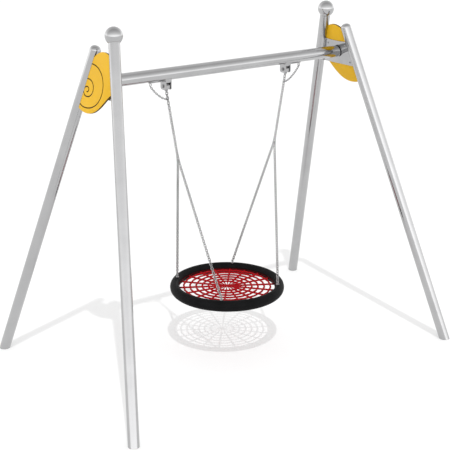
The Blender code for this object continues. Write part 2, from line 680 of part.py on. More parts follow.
def net_outlines():
    """The net's edge and the gaps between its spokes and rings."""
    reach = NET_REACH
    step = 2 * math.pi / SEAT_STEPS
    edge = [(reach * math.cos(i * step), reach * math.sin(i * step)) for i in range(SEAT_STEPS)]
    outlines = [edge]
    half = ROPE / 2
    wedge = 2 * math.pi / NET_SPOKES
    rings = [(i + 2) * NET_RING_STEP for i in range(NET_RINGS)]
    bounds = [(2 * half / math.sin(wedge / 2), rings[0] - half)]
    bounds += [(a + half, b - half) for a, b in zip(rings, rings[1:])]
    bounds.append((rings[-1] + half, reach - ROPE))
    for spoke in range(NET_SPOKES):
        left, right = wedge * (spoke + 0.5), wedge * (spoke + 1.5)
        for inner, outer in bounds:
            trim_in, trim_out = math.asin(half / inner), math.asin(half / outer)
            corners = (
                (inner, left + trim_in),
                (outer, left + trim_out),
                (outer, right - trim_out),
                (inner, right - trim_in),
            )
            outlines.append([(r * math.cos(a), r * math.sin(a)) for r, a in corners])
    return outlines


def build_net():
    net = outline_mesh("net", net_outlines(), -ROPE / 2, ROPE / 2)
    level = Matrix.Translation((0, 0, RIM_CENTRE_HEIGHT))
    add_part("net", net, rope_red, seat_home, level)


def build_seat_chains(side, split, cover):
    """The two chains from a split ring to the rim, and the anchors that hold them."""
    stud_in = ANCHOR_INSIDE_RIM - STUD_RADIUS
    stud_low = RIM_CENTRE_HEIGHT + math.sqrt(CORE_RADIUS**2 - max(stud_in, 0.0) ** 2) + GAP
    split_x = chain_x(SPLIT_HEIGHT)
    for place, way in (("front", -1), ("rear", 1)):
        x = -ANCHOR_RADIUS * math.cos(ANCHOR_ANGLE) + split_x
        y = way * ANCHOR_RADIUS * math.sin(ANCHOR_ANGLE)
        base = Matrix.Translation((x, y, -SPLIT_HEIGHT))
        name = f"{side}_{place}_anchor"
        stud = cylinder_mesh(name, STUD_RADIUS, stud_low, COLLAR_HIGH, SMALL_SIDES)
        anchor = add_part(name, stud, zinc, split, base)
        collar = cylinder_mesh(f"{name}_collar", COLLAR_RADIUS, COLLAR_LOW, COLLAR_HIGH, SMALL_SIDES)
        cut(anchor, add_cutter(f"{name}_collar", collar, split, base), "UNION")
        eye = torus_mesh(f"{name}_eye", EYE_RADIUS, EYE_WIRE, SMALL_SIDES, 6)
        eye_place = base @ Matrix.Translation((0, 0, EYE_HEIGHT)) @ Matrix.Rotation(math.pi / 2, 4, "Y")
        cut(anchor, add_cutter(f"{name}_eye", eye, split, eye_place), "UNION")
        hole = cylinder_mesh(f"{name}_hole", STUD_RADIUS + GAP, RIM_CENTRE_HEIGHT, FAR, SMALL_SIDES)
        cut(cover, add_cutter(f"{name}_hole", hole, split, base))

        target = Vector((x, y, EYE_HEIGHT - SPLIT_HEIGHT))
        along = target.normalized()
        start = along * SPLIT_REACH
        end = target - along * (EYE_RADIUS + EYE_WIRE + GAP)
        chain = f"{side}_{place}_chain"
        add_part(chain, chain_mesh(chain, straight_route(start, end), False), chain_steel, split)


clear_scene()
steel = finish_material("stainless_steel", (0.62, 0.62, 0.63), 0.28, 1.0)
chain_steel = finish_material("chain_steel", (0.50, 0.50, 0.51), 0.35, 1.0)
zinc = finish_material("bolt_steel", (0.45, 0.45, 0.46), 0.35, 1.0)
yellow = finish_material("yellow_board", (0.87, 0.52, 0.03), 0.45, 0.0)
rubber = finish_material("black_rubber", (0.018, 0.018, 0.020), 0.75, 0.0)
nylon = finish_material("grey_nylon", (0.20, 0.20, 0.21), 0.5, 0.0)
rope_red = finish_material("red_rope", (0.30, 0.012, 0.02), 0.8, 0.0)

sides = [("left", empty("left_half", Matrix()))]
sides.append(("right", empty("right_half", Matrix.Rotation(math.pi, 4, "Z"))))
seat_home = empty("seat_home", Matrix())
rim = build_rim()
build_net()
frame_planes = []
for side_name, half_home in sides:
    build_caps(side_name, half_home)
    frame_planes.append(build_end(side_name, half_home))
    hanger_plane = build_hanger(side_name, half_home)
    split_home = build_upper_chain(side_name, half_home, hanger_plane)
    build_safety(side_name, half_home)
    build_seat_chains(side_name, split_home, rim)
build_beam(frame_planes)
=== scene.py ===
# %% [markdown]
# A nest swing, dressed piece by piece.
# The frame that is loaded here holds every solid of the swing at its real size and place.
# Each cell below takes one piece of the real swing, works out its surface with numpy and gives
# it a finish. Lengths are metres, +Z is up, X runs along the beam and Y is the way it swings.

# %% Load the frame
import json

import bmesh
import bpy
import numpy as np
from mathutils import Matrix, Vector


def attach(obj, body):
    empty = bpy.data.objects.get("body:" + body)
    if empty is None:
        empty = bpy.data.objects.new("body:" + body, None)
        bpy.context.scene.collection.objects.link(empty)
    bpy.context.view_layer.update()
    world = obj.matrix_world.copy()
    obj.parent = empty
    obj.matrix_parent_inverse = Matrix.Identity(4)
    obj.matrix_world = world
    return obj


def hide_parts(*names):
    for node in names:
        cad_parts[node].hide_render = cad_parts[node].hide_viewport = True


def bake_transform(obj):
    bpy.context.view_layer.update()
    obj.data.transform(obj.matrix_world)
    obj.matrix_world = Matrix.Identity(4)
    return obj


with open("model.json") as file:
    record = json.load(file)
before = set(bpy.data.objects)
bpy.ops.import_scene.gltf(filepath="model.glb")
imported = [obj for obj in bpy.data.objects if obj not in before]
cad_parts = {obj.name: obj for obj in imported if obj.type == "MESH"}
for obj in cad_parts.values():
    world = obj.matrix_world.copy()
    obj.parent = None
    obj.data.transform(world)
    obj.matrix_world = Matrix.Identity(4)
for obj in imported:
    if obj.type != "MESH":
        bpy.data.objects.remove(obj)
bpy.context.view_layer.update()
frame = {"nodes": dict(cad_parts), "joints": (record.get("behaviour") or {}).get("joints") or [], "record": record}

# %% [markdown]
# The places that other pieces hang from come straight from the frame: the middle of each foot
# and the axis of each joint. The two halves of the swing are alike, and the right one is the
# left one turned half round about Z, so every piece is worked out once, on the left.

# %% Places from the frame
feet = {mount["name"]: np.array(mount["pos_m"]) for mount in frame["record"]["mounts"]}
axes_at = {joint["name"]: np.array(joint["pos_m"]) for joint in frame["joints"]}
PIVOT = axes_at["left_swing"]
SPLIT = axes_at["seat_pitch"]
HALVES = {"left": 1.0, "right": -1.0}
TURN = 2 * np.pi
print("pivot", PIVOT, "split", SPLIT)

# %% [markdown]
# Almost every piece here is a grid of points: a section carried along a path, or a profile
# turned about an axis. Blender has modifiers for both, but with whole arrays the formula stays
# in sight and the surface coordinates come out in metres, so a finish has the same scale on
# every piece.

# %% Grids of points
def unit(vectors):
    """Vectors divided by their own length."""
    vectors = np.asarray(vectors, float)
    return vectors / np.linalg.norm(vectors, axis=-1, keepdims=True)


def round_angles(count):
    """Angles spaced evenly round a whole turn, the first one zero."""
    return np.arange(count) * TURN / count


def surface(points, close_rows=False, close_columns=True, finish=0):
    """Faces over a grid: each joins a point with the next column and the next row.

    The surface coordinates are the mean distance around and along, in metres.
    """
    rows, columns = points.shape[:2]
    i, j = np.meshgrid(
        np.arange(rows if close_rows else rows - 1),
        np.arange(columns if close_columns else columns - 1),
        indexing="ij",
    )
    below, beside = (i + 1) % rows, (j + 1) % columns
    corners = [i * columns + j, i * columns + beside, below * columns + beside, below * columns + j]
    around = np.linalg.norm(np.roll(points, -1, axis=1) - points, axis=-1).sum(axis=1).max()
    along = np.linalg.norm(np.roll(points, -1, axis=0) - points, axis=-1).mean(axis=1)
    u = np.arange(columns + 1) * around / columns
    v = np.concatenate([[0.0], np.cumsum(along)])
    uv = [(u[j], v[i]), (u[j + 1], v[i]), (u[j + 1], v[i + 1]), (u[j], v[i + 1])]
    uv = np.stack([np.stack(corner, -1) for corner in uv], 2)
    return {
        "points": points.reshape(-1, 3),
        "quads": np.stack(corners, -1).reshape(-1, 4),
        "uv": uv.reshape(-1, 4, 2),
        "caps": [],
        "cap_uv": [],
        "finish": finish,
    }


def tube(path, radius, sides, up=(0, 0, 1), closed=False, finish=0):
    """A round section on a path: point = path + radius (cos a . normal + sin a . binormal).

    The radius may change along the path and around it. Open ends close to a point.
    """
    path = np.asarray(path, float)
    step = np.roll(path, -1, 0) - np.roll(path, 1, 0) if closed else np.gradient(path, axis=0)
    tangent = unit(step)
    normal = unit(np.cross(up, tangent))
    binormal = np.cross(tangent, normal)
    angle = round_angles(sides)
    radius = np.asarray(radius, float)
    radius = radius[:, None] if radius.ndim == 1 else radius
    size = np.broadcast_to(radius, (len(path), sides))[..., None]
    ring = np.cos(angle)[:, None] * normal[:, None] + np.sin(angle)[:, None] * binormal[:, None]
    points = path[:, None] + size * ring
    if not closed:
        ends = np.broadcast_to(path[[0, -1], None], (2, sides, 3))
        points = np.concatenate([ends[:1], points, ends[1:]])
    return surface(points, close_rows=closed, finish=finish)


def axes_about(axis):
    """Three square directions, the last one along the axis."""
    z = unit(axis)
    helper = np.array([0.0, 0.0, 1.0]) if abs(z[2]) < 0.9 else np.array([0.0, 1.0, 0.0])
    x = unit(np.cross(helper, z))
    return np.stack([x, np.cross(z, x), z])


def turned(profile, sides, origin=(0, 0, 0), axis=(0, 0, 1), closed=False, finish=0):
    """A profile of (radius, height) points turned about an axis, upwards on its outer side."""
    profile = np.asarray(profile, float)
    x, y, z = axes_about(axis)
    angle = round_angles(sides)[None, :, None]
    radius, height = profile[:, 0, None, None], profile[:, 1, None, None]
    points = np.asarray(origin) + height * z + radius * (np.cos(angle) * x + np.sin(angle) * y)
    return surface(points, close_rows=closed, finish=finish)


def arc(radius, start, end, count, centre=(0.0, 0.0)):
    """Points on a circle from one angle to another, in degrees."""
    angle = np.radians(np.linspace(start, end, count))
    return np.asarray(centre) + radius * np.stack([np.cos(angle), np.sin(angle)], -1)


def inset(outline, depth):
    """An outline moved inwards: each corner goes along its bisector, so both edges move alike."""
    edge = unit(np.roll(outline, -1, 0) - outline)
    before = np.roll(edge, 1, 0)
    inward = np.stack([-edge[:, 1] - before[:, 1], edge[:, 0] + before[:, 0]], -1)
    share = 1 + (edge * before).sum(-1, keepdims=True)
    return outline + depth * inward / share


def rounded_edge(low, high, edge, steps, bands=()):
    """Depth and height of the loops on an edge: a quarter circle at each end, bands between."""
    angle = np.linspace(0, np.pi / 2, steps + 1)
    depth, rise = edge * (1 - np.sin(angle)), edge * (1 - np.cos(angle))
    depths = np.concatenate([depth, np.zeros(len(bands)), depth[::-1]])
    return depths, np.concatenate([low + rise, bands, high - rise[::-1]])


def plate(outline, low, high, edge, steps=3, bands=()):
    """A flat plate in local X and Y with rounded edges: the outline moved in on each loop.

    The outline runs counter-clockwise, both faces are one polygon each, and the bands are the
    heights of more loops on the straight part of the edge.
    """
    outline = np.asarray(outline, float)
    count = len(outline)
    depths, heights = rounded_edge(low, high, edge, steps, bands)
    loops = [np.column_stack([inset(outline, d), np.full(count, h)]) for d, h in zip(depths, heights)]
    made = surface(np.stack(loops))
    made["caps"] = [np.arange(count)[::-1], np.arange(count) + count * (len(loops) - 1)]
    made["cap_uv"] = [loops[0][::-1, :2], loops[-1][:, :2]]
    return made


def placed(made, origin, x, y, z):
    """A surface moved from local axes to the place and the directions given."""
    points = made["points"] @ np.stack([x, y, z]) + np.asarray(origin)
    return {**made, "points": points}


def half_turned(made, way):
    """The surface for one half of the swing: way -1 turns it half round about Z."""
    return {**made, "points": made["points"] * np.array([way, way, 1.0])}


print("grid helpers ready")

# %% [markdown]
# One function turns surfaces into an object. Points that lie on each other, such as the pole of
# a turned profile, are merged there, so every shape is closed, and edges sharper than the given
# angle stay crisp while the rest shades smoothly.

# %% Objects from surfaces
MERGE = 1e-6
SHARP = 40
LINK_SHARP = 60


def build_mesh(name, surfaces, finishes):
    """One mesh from several surfaces, with its surface coordinates and finishes."""
    starts = np.cumsum([0] + [len(s["points"]) for s in surfaces])
    faces, uv, finish = [], [], []
    for start, s in zip(starts, surfaces):
        faces += (s["quads"] + start).tolist()
        uv.append(s["uv"].reshape(-1, 2))
        for cap, cap_uv in zip(s["caps"], s["cap_uv"]):
            faces.append((cap + start).tolist())
            uv.append(cap_uv)
        finish += np.broadcast_to(s["finish"], len(s["quads"])).tolist()
        finish += [0] * len(s["caps"])
    mesh = bpy.data.meshes.new(name)
    mesh.from_pydata(np.concatenate([s["points"] for s in surfaces]).tolist(), [], faces)
    layer = mesh.uv_layers.new(name="UVMap")
    layer.data.foreach_set("uv", np.concatenate(uv).ravel())
    mesh.polygons.foreach_set("material_index", finish)
    for material in finishes:
        mesh.materials.append(material)
    work = bmesh.new()
    work.from_mesh(mesh)
    bmesh.ops.remove_doubles(work, verts=work.verts, dist=MERGE)
    bmesh.ops.dissolve_degenerate(work, edges=work.edges, dist=MERGE)
    work.to_mesh(mesh)
    work.free()
    return mesh


def shade(mesh, sharp):
    """Smooth shading, apart from edges that are sharper than an angle in degrees."""
    mesh.shade_smooth()
    mesh.set_sharp_from_angle(angle=np.radians(sharp))


def piece(name, surfaces, finishes, nodes, body=None, sharp=SHARP):
    """An object for one piece of the swing, which stands for CAD nodes and rides on their body."""
    made = bpy.data.objects.new(name, build_mesh(name, surfaces, finishes))
    bpy.context.scene.collection.objects.link(made)
    shade(made.data, sharp)
    if body:
        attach(made, body)
    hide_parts(*nodes)
    return made


def both_halves(node, ending, surfaces, finishes, body="frame", sharp=SHARP):
    """One piece on each half of the swing. The body "chain" means the chain of that half."""
    made = []
    for half, way in HALVES.items():
        name = f"{half}_{node}"
        rides_on = f"{half}_chain" if body == "chain" else body
        there = [half_turned(s, way) for s in surfaces]
        made.append(piece(f"{name}_{ending}", there, finishes, [name], rides_on, sharp))
    return made


print("piece builder ready")

# %% [markdown]
# Ground stainless tube: the belt leaves fine lines along the tube, and hands and weather leave
# broad soft patches. Both are noise: one stretched along the surface coordinates for the lines,
# one in object space for the patches. They move the roughness and the colour a little.

# %% Steel finishes
def feed(tree, node, **inputs):
    """Fills inputs of a shader node: an output is linked, any other value is set on the socket."""
    for name, value in inputs.items():
        socket = node.inputs[name.replace("_", " ")]
        if isinstance(value, bpy.types.NodeSocket):
            tree.links.new(value, socket)
        else:
            socket.default_value = value


def add_node(tree, kind, **inputs):
    """A new shader node with its inputs filled."""
    node = tree.nodes.new(f"ShaderNode{kind}")
    feed(tree, node, **inputs)
    return node


def new_finish(name, colour, roughness, metallic=0.0):
    """A material with a Principled shader, and the parts of its node tree."""
    material = bpy.data.materials.new(name)
    material.use_nodes = True
    tree = material.node_tree
    shader = tree.nodes["Principled BSDF"]
    feed(tree, shader, Base_Color=(*colour, 1.0), Roughness=roughness, Metallic=metallic)
    return material, tree, shader


def noise(tree, coordinates, scale, stretch=(1, 1, 1), detail=3.0, uneven=0.55):
    """A noise texture's output, on stretched UV or Object coordinates."""
    source = add_node(tree, "TexCoord").outputs[coordinates]
    place = add_node(tree, "Mapping", Vector=source, Scale=stretch).outputs["Vector"]
    texture = add_node(tree, "TexNoise", Vector=place, Scale=scale, Detail=detail, Roughness=uneven)
    return texture.outputs["Fac"]


def ranged(tree, value, low, high, start=0.3, end=0.7):
    """A value between start and end, mapped to low and high."""
    node = add_node(tree, "MapRange", Value=value, From_Min=start, From_Max=end, To_Min=low, To_Max=high)
    return node.outputs["Result"]


def ramp(tree, value, *stops):
    """A colour for each value: stops are (position, colour)."""
    node = add_node(tree, "ValToRGB", Fac=value)
    for element, (place, colour) in zip(node.color_ramp.elements, (stops[0], stops[-1])):
        element.position = place
        element.color = (*colour, 1.0)
    for place, colour in stops[1:-1]:
        node.color_ramp.elements.new(place).color = (*colour, 1.0)
    return node.outputs["Color"]


def larger(tree, first, second):
    """The larger of two outputs."""
    node = add_node(tree, "Math")
    node.operation = "MAXIMUM"
    tree.links.new(first, node.inputs[0])
    tree.links.new(second, node.inputs[1])
    return node.outputs["Value"]


def bump(tree, shader, height, strength, distance):
    """Feeds a height to the shader's normal."""
    node = add_node(tree, "Bump", Height=height, Strength=strength, Distance=distance)
    feed(tree, shader, Normal=node.outputs["Normal"])


def ground_steel(name, dark, light, smooth, dull, lines):
    """Steel with belt lines along it: lines is how many times finer they are across than along."""
    material, tree, shader = new_finish(name, light, smooth, 1.0)
    patches = noise(tree, "Object", scale=5.0, detail=4.0)
    streaks = noise(tree, "UV", scale=6.0, stretch=(lines, 1.0, 1.0), detail=5.0)
    fine = noise(tree, "UV", scale=30.0, stretch=(lines, 1.0, 1.0), detail=2.0)
    colour = ramp(tree, patches, (0.3, dark), (0.7, light))
    feed(tree, shader, Base_Color=colour, Roughness=ranged(tree, streaks, smooth, dull))
    bump(tree, shader, fine, strength=0.03, distance=0.0003)
    return material


tube_steel = ground_steel("tube_steel", (0.43, 0.43, 0.435), (0.47, 0.47, 0.475), 0.08, 0.15, 40.0)
plate_steel = ground_steel("plate_steel", (0.38, 0.38, 0.385), (0.46, 0.46, 0.465), 0.05, 0.09, 8.0)
ball_steel = ground_steel("ball_steel", (0.43, 0.43, 0.435), (0.47, 0.47, 0.475), 0.07, 0.13, 3.0)
weld_steel = ground_steel("weld_steel", (0.34, 0.34, 0.34), (0.50, 0.49, 0.48), 0.30, 0.48, 1.0)
link_steel = ground_steel("link_steel", (0.25, 0.25, 0.252), (0.41, 0.41, 0.415), 0.18, 0.30, 4.0)
bolt_steel = ground_steel("bolt_steel", (0.28, 0.28, 0.285), (0.42, 0.42, 0.425), 0.24, 0.40, 3.0)
steels = (tube_steel, plate_steel, ball_steel, weld_steel, link_steel, bolt_steel)
print("steel finishes", [steel.name for steel in steels])

# %% [markdown]
# The boards are solid polyethylene in layers: thin yellow skins over a dark core, so the edge and
# any engraved line show dark. The skin has a fine pebbled grain from the press. Rubber and nylon
# are dull, with a fine moulded grain, and the rope is braided, with small strands that cross.

# %% Board, rubber, nylon and rope finishes
YELLOW = ((0.71, 0.402, 0.004), (0.775, 0.445, 0.006))
YELLOW_MEAN = (0.745, 0.425, 0.005)
CORE_BROWN = ((0.045, 0.024, 0.003), (0.085, 0.046, 0.006))
RUBBER_BLACK = ((0.003, 0.003, 0.0033), (0.007, 0.007, 0.0075))
NYLON_GREY = ((0.16, 0.16, 0.17), (0.24, 0.24, 0.25))
ROPE_RED = ((0.13, 0.0012, 0.0025), (0.46, 0.008, 0.013))
# Painted shade: a darker red for rope in the rim's slot, where shade falls
ROPE_PAINTED_SHADE = ((0.022, 0.001, 0.0012), (0.070, 0.002, 0.003))
BRAID_SLANT = 0.6
BRAID_SCALE = 95.0
BRAID_UNEVEN = 0.6


def board_skin():
    """Yellow with a pebbled grain, slightly uneven in colour."""
    dark, light = YELLOW
    material, tree, shader = new_finish("board_yellow", YELLOW_MEAN, 0.5)
    cloud = noise(tree, "Object", scale=3.0, detail=5.0)
    colour = ramp(tree, cloud, (0.3, dark), (0.7, light))
    grain = noise(tree, "Object", scale=420.0, detail=2.0)
    roughness = ranged(tree, grain, low=0.36, high=0.50)
    feed(tree, shader, Base_Color=colour, Roughness=roughness, Specular_IOR_Level=0.25)
    bump(tree, shader, grain, strength=0.25, distance=0.0005)
    return material


def dull_plastic(name, dark, light, smooth, dull, grain_scale, strength, gloss):
    """A moulded material: colour clouds, and a grain that moves roughness and height."""
    material, tree, shader = new_finish(name, light, dull)
    cloud = noise(tree, "Object", scale=9.0, detail=6.0)
    colour = ramp(tree, cloud, (0.3, dark), (0.75, light))
    grain = noise(tree, "Object", grain_scale, detail=3.0)
    roughness = ranged(tree, grain, smooth, dull)
    feed(tree, shader, Base_Color=colour, Roughness=roughness, Specular_IOR_Level=gloss)
    bump(tree, shader, grain, strength, distance=0.0006)
    return material


def slanted_wave(tree, slant):
    """Bands on the surface coordinates, turned by a slant in radians."""
    source = add_node(tree, "TexCoord").outputs["UV"]
    place = add_node(tree, "Mapping", Vector=source, Rotation=(0, 0, slant)).outputs["Vector"]
    wave = add_node(tree, "TexWave", Vector=place, Scale=BRAID_SCALE, Distortion=BRAID_UNEVEN)
    return wave.outputs["Fac"]


def braided_rope(name, dark, light):
    """Rope: two sets of slanted bands that cross, the higher one on top, make the braid."""
    material, tree, shader = new_finish(name, light, 0.8)
    braid = larger(tree, slanted_wave(tree, BRAID_SLANT), slanted_wave(tree, -BRAID_SLANT))
    colour = ramp(tree, braid, (0.2, dark), (0.9, light))
    fuzz = noise(tree, "Object", scale=700.0, detail=2.0)
    roughness = ranged(tree, fuzz, low=0.65, high=0.95)
    feed(tree, shader, Base_Color=colour, Roughness=roughness, Specular_IOR_Level=0.1)
    bump(tree, shader, braid, strength=0.7, distance=0.0012)
    return material


board_yellow = board_skin()
board_core = dull_plastic("board_core", *CORE_BROWN, 0.5, 0.7, 300.0, 0.2, 0.2)
rim_rubber = dull_plastic("rim_rubber", *RUBBER_BLACK, 0.45, 0.75, 520.0, 0.35, 0.08)
bush_nylon = dull_plastic("bush_nylon", *NYLON_GREY, 0.4, 0.6, 400.0, 0.15, 0.4)
rope_red = braided_rope("rope_red", *ROPE_RED)
# The second rope finish is painted shade, for rope in the rim's slot
rope_painted_shade = braided_rope("rope_painted_shade", *ROPE_PAINTED_SHADE)
others = (board_yellow, board_core, rim_rubber, bush_nylon, rope_red, rope_painted_shade)
print("other finishes", [other.name for other in others])

# %% [markdown]
# A leg is one length of 88.9 mm tube that leans in two directions. It could be a cylinder cut by
# a Boolean, but the level cut at the ground has a formula: each line of the tube starts where
# its own height is zero. The beam height and the place of the leg's line at that height give
# the lean.

# %% Legs
LEG_RADIUS = 0.04445
LEG_SIDES = 64
LEG_ROWS = 12
BEAM_HEIGHT = 2.494
FRAME_TOP_X = 1.2021
FRAME_TOP_Y = 0.2210
BALL_RADIUS = 0.0705
BALL_ABOVE_BEAM = 0.3646
DOME_ABOVE_BEAM = 0.2595
DOME_RISE = 0.034

left_foot = feet["left_ball_foot"]
LEAN = (abs(left_foot[0]) - FRAME_TOP_X) / BEAM_HEIGHT
SPREAD = (abs(left_foot[1]) - FRAME_TOP_Y) / BEAM_HEIGHT


def leg_direction(foot):
    """The leg's line, from its foot towards the middle of the swing and up."""
    return unit([-np.sign(foot[0]) * LEAN, -np.sign(foot[1]) * SPREAD, 1.0])


def leg_tube(foot, top):
    """Lines of a tube from the level cut to a square end: s runs from -offset_z / rise to top."""
    x, y, z = axes_about(leg_direction(foot))
    angle = round_angles(LEG_SIDES)[:, None]
    offset = LEG_RADIUS * (np.cos(angle) * x + np.sin(angle) * y)
    start = -offset[:, 2] / z[2]
    share = np.linspace(0, 1, LEG_ROWS)[:, None]
    s = start + share * (top - start)
    walls = foot + offset + s[..., None] * z
    low = np.broadcast_to(foot, (1, LEG_SIDES, 3))
    high = np.broadcast_to(foot + top * z, (1, LEG_SIDES, 3))
    return surface(np.concatenate([low, walls, high]))


leg_slope = np.sqrt(1 + LEAN**2 + SPREAD**2)
ball_seat = np.sqrt(BALL_RADIUS**2 - LEG_RADIUS**2)
ball_at = (BEAM_HEIGHT + BALL_ABOVE_BEAM) * leg_slope
dome_at = (BEAM_HEIGHT + DOME_ABOVE_BEAM) * leg_slope - DOME_RISE
for half in HALVES:
    for kind, top in (("ball", ball_at - ball_seat), ("dome", dome_at)):
        foot = feet[f"{half}_{kind}_foot"]
        name = f"{half}_{kind}_leg"
        piece(f"{name}_tube", [leg_tube(foot, top)], [tube_steel], [name], "frame")
print("legs", 2 * len(HALVES), "length", round(ball_at, 3))

# %% [markdown]
# The ball on one leg and the low dome on the other are spun caps welded to the tube. Each is a
# circle arc turned about the leg's own line, with a small bead where it meets the tube.

# %% Caps
CAP_BEAD = 0.0016
BEAD_STEPS = 9


def cap(foot, profile, seat, bead_radius):
    """A profile turned about the leg's line from its seat up, and a ring of weld at the seat."""
    profile = np.vstack([(0.0, seat), profile])
    weld = arc(bead_radius, -90, 270, BEAD_STEPS, (LEG_RADIUS, seat))[:-1]
    line = leg_direction(foot)
    return [turned(profile, LEG_SIDES, foot, line), turned(weld, LEG_SIDES, foot, line, True, 1)]


def ball_cap(foot):
    """A circle arc from the tube up to the pole."""
    low = -np.degrees(np.arcsin(ball_seat / BALL_RADIUS))
    profile = arc(BALL_RADIUS, low, 90, 40, (0.0, ball_at))
    return cap(foot, profile, ball_at - ball_seat, CAP_BEAD)


def dome_cap(foot):
    """A flattened circle arc: the height is scaled to the dome's rise."""
    profile = arc(LEG_RADIUS, 0, 90, 20) * (1, DOME_RISE / LEG_RADIUS) + (0, dome_at)
    return cap(foot, profile, dome_at, CAP_BEAD / 2)


for half in HALVES:
    for kind, shape in (("ball", ball_cap), ("dome", dome_cap)):
        node = f"{half}_{kind}_cap"
        surfaces = shape(feet[f"{half}_{kind}_foot"])
        piece(f"{node}_spun", surfaces, [ball_steel, weld_steel], [node], "frame")
print("caps", 2 * len(HALVES))

# %% [markdown]
# Everything at the end of the beam lies in or square to the leaning plane of the two legs. Its
# axes are Y across, up along the lean, and in along the beam, and a length up the lean is a
# height times the slope of that plane.

# %% The leaning plane
SLOPE = np.sqrt(1 + LEAN**2)
PLANE_ORIGIN = np.array([left_foot[0], 0.0, 0.0])
ACROSS = np.array([0.0, 1.0, 0.0])
UP = unit([LEAN, 0.0, 1.0])
INWARD = np.cross(ACROSS, UP)
SIDE_SLOPE = SPREAD / SLOPE
SIDE_STRETCH = np.sqrt(1 + SIDE_SLOPE**2)
BEAM_UP = BEAM_HEIGHT * SLOPE
BEAM_END = PLANE_ORIGIN + BEAM_UP * UP


def leg_side(up, clear):
    """Half the width between the legs at a height up the lean, less a clearance from their lines."""
    return abs(left_foot[1]) - SIDE_SLOPE * up - clear * SIDE_STRETCH


def in_plane(made):
    """A surface made in the leaning plane, moved to its place."""
    return placed(made, PLANE_ORIGIN, ACROSS, UP, INWARD)


print("beam end", BEAM_END.round(3))

# %% [markdown]
# The gusset is an 8 mm plate between the legs, welded along both of them. The panel and the beam
# are bolted to it. Its outline has a slightly hollow top edge, drawn as a parabola.

# %% Gussets
GUSSET_HALF = 0.004
GUSSET_HIGH = BEAM_UP + 0.100
GUSSET_LOW = BEAM_UP - 0.112
GUSSET_TOP_STEPS = 17
GUSSET_DIP = 0.006
PLATE_EDGE = 0.0009
WELD = 0.004
WELD_SIDES = 8
RIPPLE = 0.0045
RIPPLE_STEPS = 4
RIPPLE_SWELL = 0.12


def bead(start, end):
    """A weld: a thin tube on a line, whose radius swells once in each ripple length."""
    start, end = np.asarray(start), np.asarray(end)
    length = np.linalg.norm(end - start)
    share = np.linspace(0, 1, int(RIPPLE_STEPS * length / RIPPLE))
    swell = WELD * (1 + RIPPLE_SWELL * np.cos(TURN * share * length / RIPPLE))
    return tube(start + share[:, None] * (end - start), swell, WELD_SIDES, finish=1)


def gusset():
    """The outline between the legs, and a weld on each face along each leg."""
    half_low, half_high = leg_side(GUSSET_LOW, LEG_RADIUS), leg_side(GUSSET_HIGH, LEG_RADIUS)
    across = np.linspace(1, -1, GUSSET_TOP_STEPS)
    top = np.stack([across * half_high, GUSSET_HIGH - GUSSET_DIP * (1 - across**2)], -1)
    outline = np.vstack([(-half_low, GUSSET_LOW), (half_low, GUSSET_LOW), top])
    surfaces = [plate(outline, -GUSSET_HALF, GUSSET_HALF, PLATE_EDGE)]
    for way in (-1, 1):
        for face in (-GUSSET_HALF, GUSSET_HALF):
            low = (way * half_low, GUSSET_LOW, face)
            high = (way * half_high, GUSSET_HIGH, face)
            surfaces.append(bead(low, high))
    return [in_plane(s) for s in surfaces]


both_halves("gusset", "plate", gusset(), [plate_steel, weld_steel])
print("gussets", len(HALVES))

# %% [markdown]
# The yellow panel is cut from one board, with a wavy top and bottom edge and an engraved spiral.
# Both edges are cubic curves between the legs. The board's two skins and its core are bands of
# the rounded edge, and the spiral is a real groove: a swept cutter takes it out of the board, so
# its walls carry the core's dark finish.

# %% Panels
GAP = 0.0003
PANEL_BACK = GUSSET_HALF + GAP
PANEL_THICKNESS = 0.019
PANEL_EDGE = 0.0015
EDGE_STEPS = 3
SKIN = 0.0022
PANEL_CLEAR = LEG_RADIUS + GAP
DOME_SIDE_TOP = BEAM_UP + 0.1735
BROW = BEAM_UP + 0.2285
CROWN = BEAM_UP + 0.2545
BALL_SIDE_TOP = BEAM_UP + 0.2170
BALL_SIDE_BOTTOM = BEAM_UP - 0.0666
SHOULDER = BEAM_UP - 0.1206
BELLY = BEAM_UP - 0.3275
DOME_SIDE_BOTTOM = BEAM_UP - 0.2411
SPIRAL_CENTRE = np.array([0.1582, BEAM_UP - 0.0839])
SPIRAL_RADIUS = 0.0211
SPIRAL_START = -110.0
SPIRAL_END = 835.0
SPIRAL_STEPS = 360
SPIRAL_GROWTH = 0.2288
SPIRAL_SLOWING = 0.0042
SPIRAL_SHIFT = (0.0207, 0.0099)
SPIRAL_OVAL = (0.1241, 0.0825)
GROOVE_HALF_WIDTH = 0.0048
GROOVE_DEPTH = 0.0040
GROOVE_SIDES = 10


def cubic(start, handle_a, handle_b, end, count):
    """Points of a cubic Bezier curve."""
    t = np.linspace(0, 1, count)[:, None]
    points = [np.asarray(p, float) for p in (start, handle_a, handle_b, end)]
    weights = [(1 - t) ** 3, 3 * t * (1 - t) ** 2, 3 * t**2 * (1 - t), t**3]
    return sum(w * p for w, p in zip(weights, points))


def panel_outline():
    """The top edge from the dome leg to the ball leg, then the bottom edge back."""
    dome_top, ball_top = leg_side(DOME_SIDE_TOP, PANEL_CLEAR), leg_side(BALL_SIDE_TOP, PANEL_CLEAR)
    ball_low = leg_side(BALL_SIDE_BOTTOM, PANEL_CLEAR)
    dome_low = leg_side(DOME_SIDE_BOTTOM, PANEL_CLEAR)
    top = cubic(
        (dome_top, DOME_SIDE_TOP),
        (dome_top / 2, BROW),
        (-ball_top / 4, CROWN),
        (-ball_top, BALL_SIDE_TOP),
        40,
    )
    bottom = cubic(
        (-ball_low, BALL_SIDE_BOTTOM),
        (-ball_low / 2, SHOULDER),
        (0.0, BELLY),
        (dome_low, DOME_SIDE_BOTTOM),
        48,
    )
    return np.vstack([top, bottom])


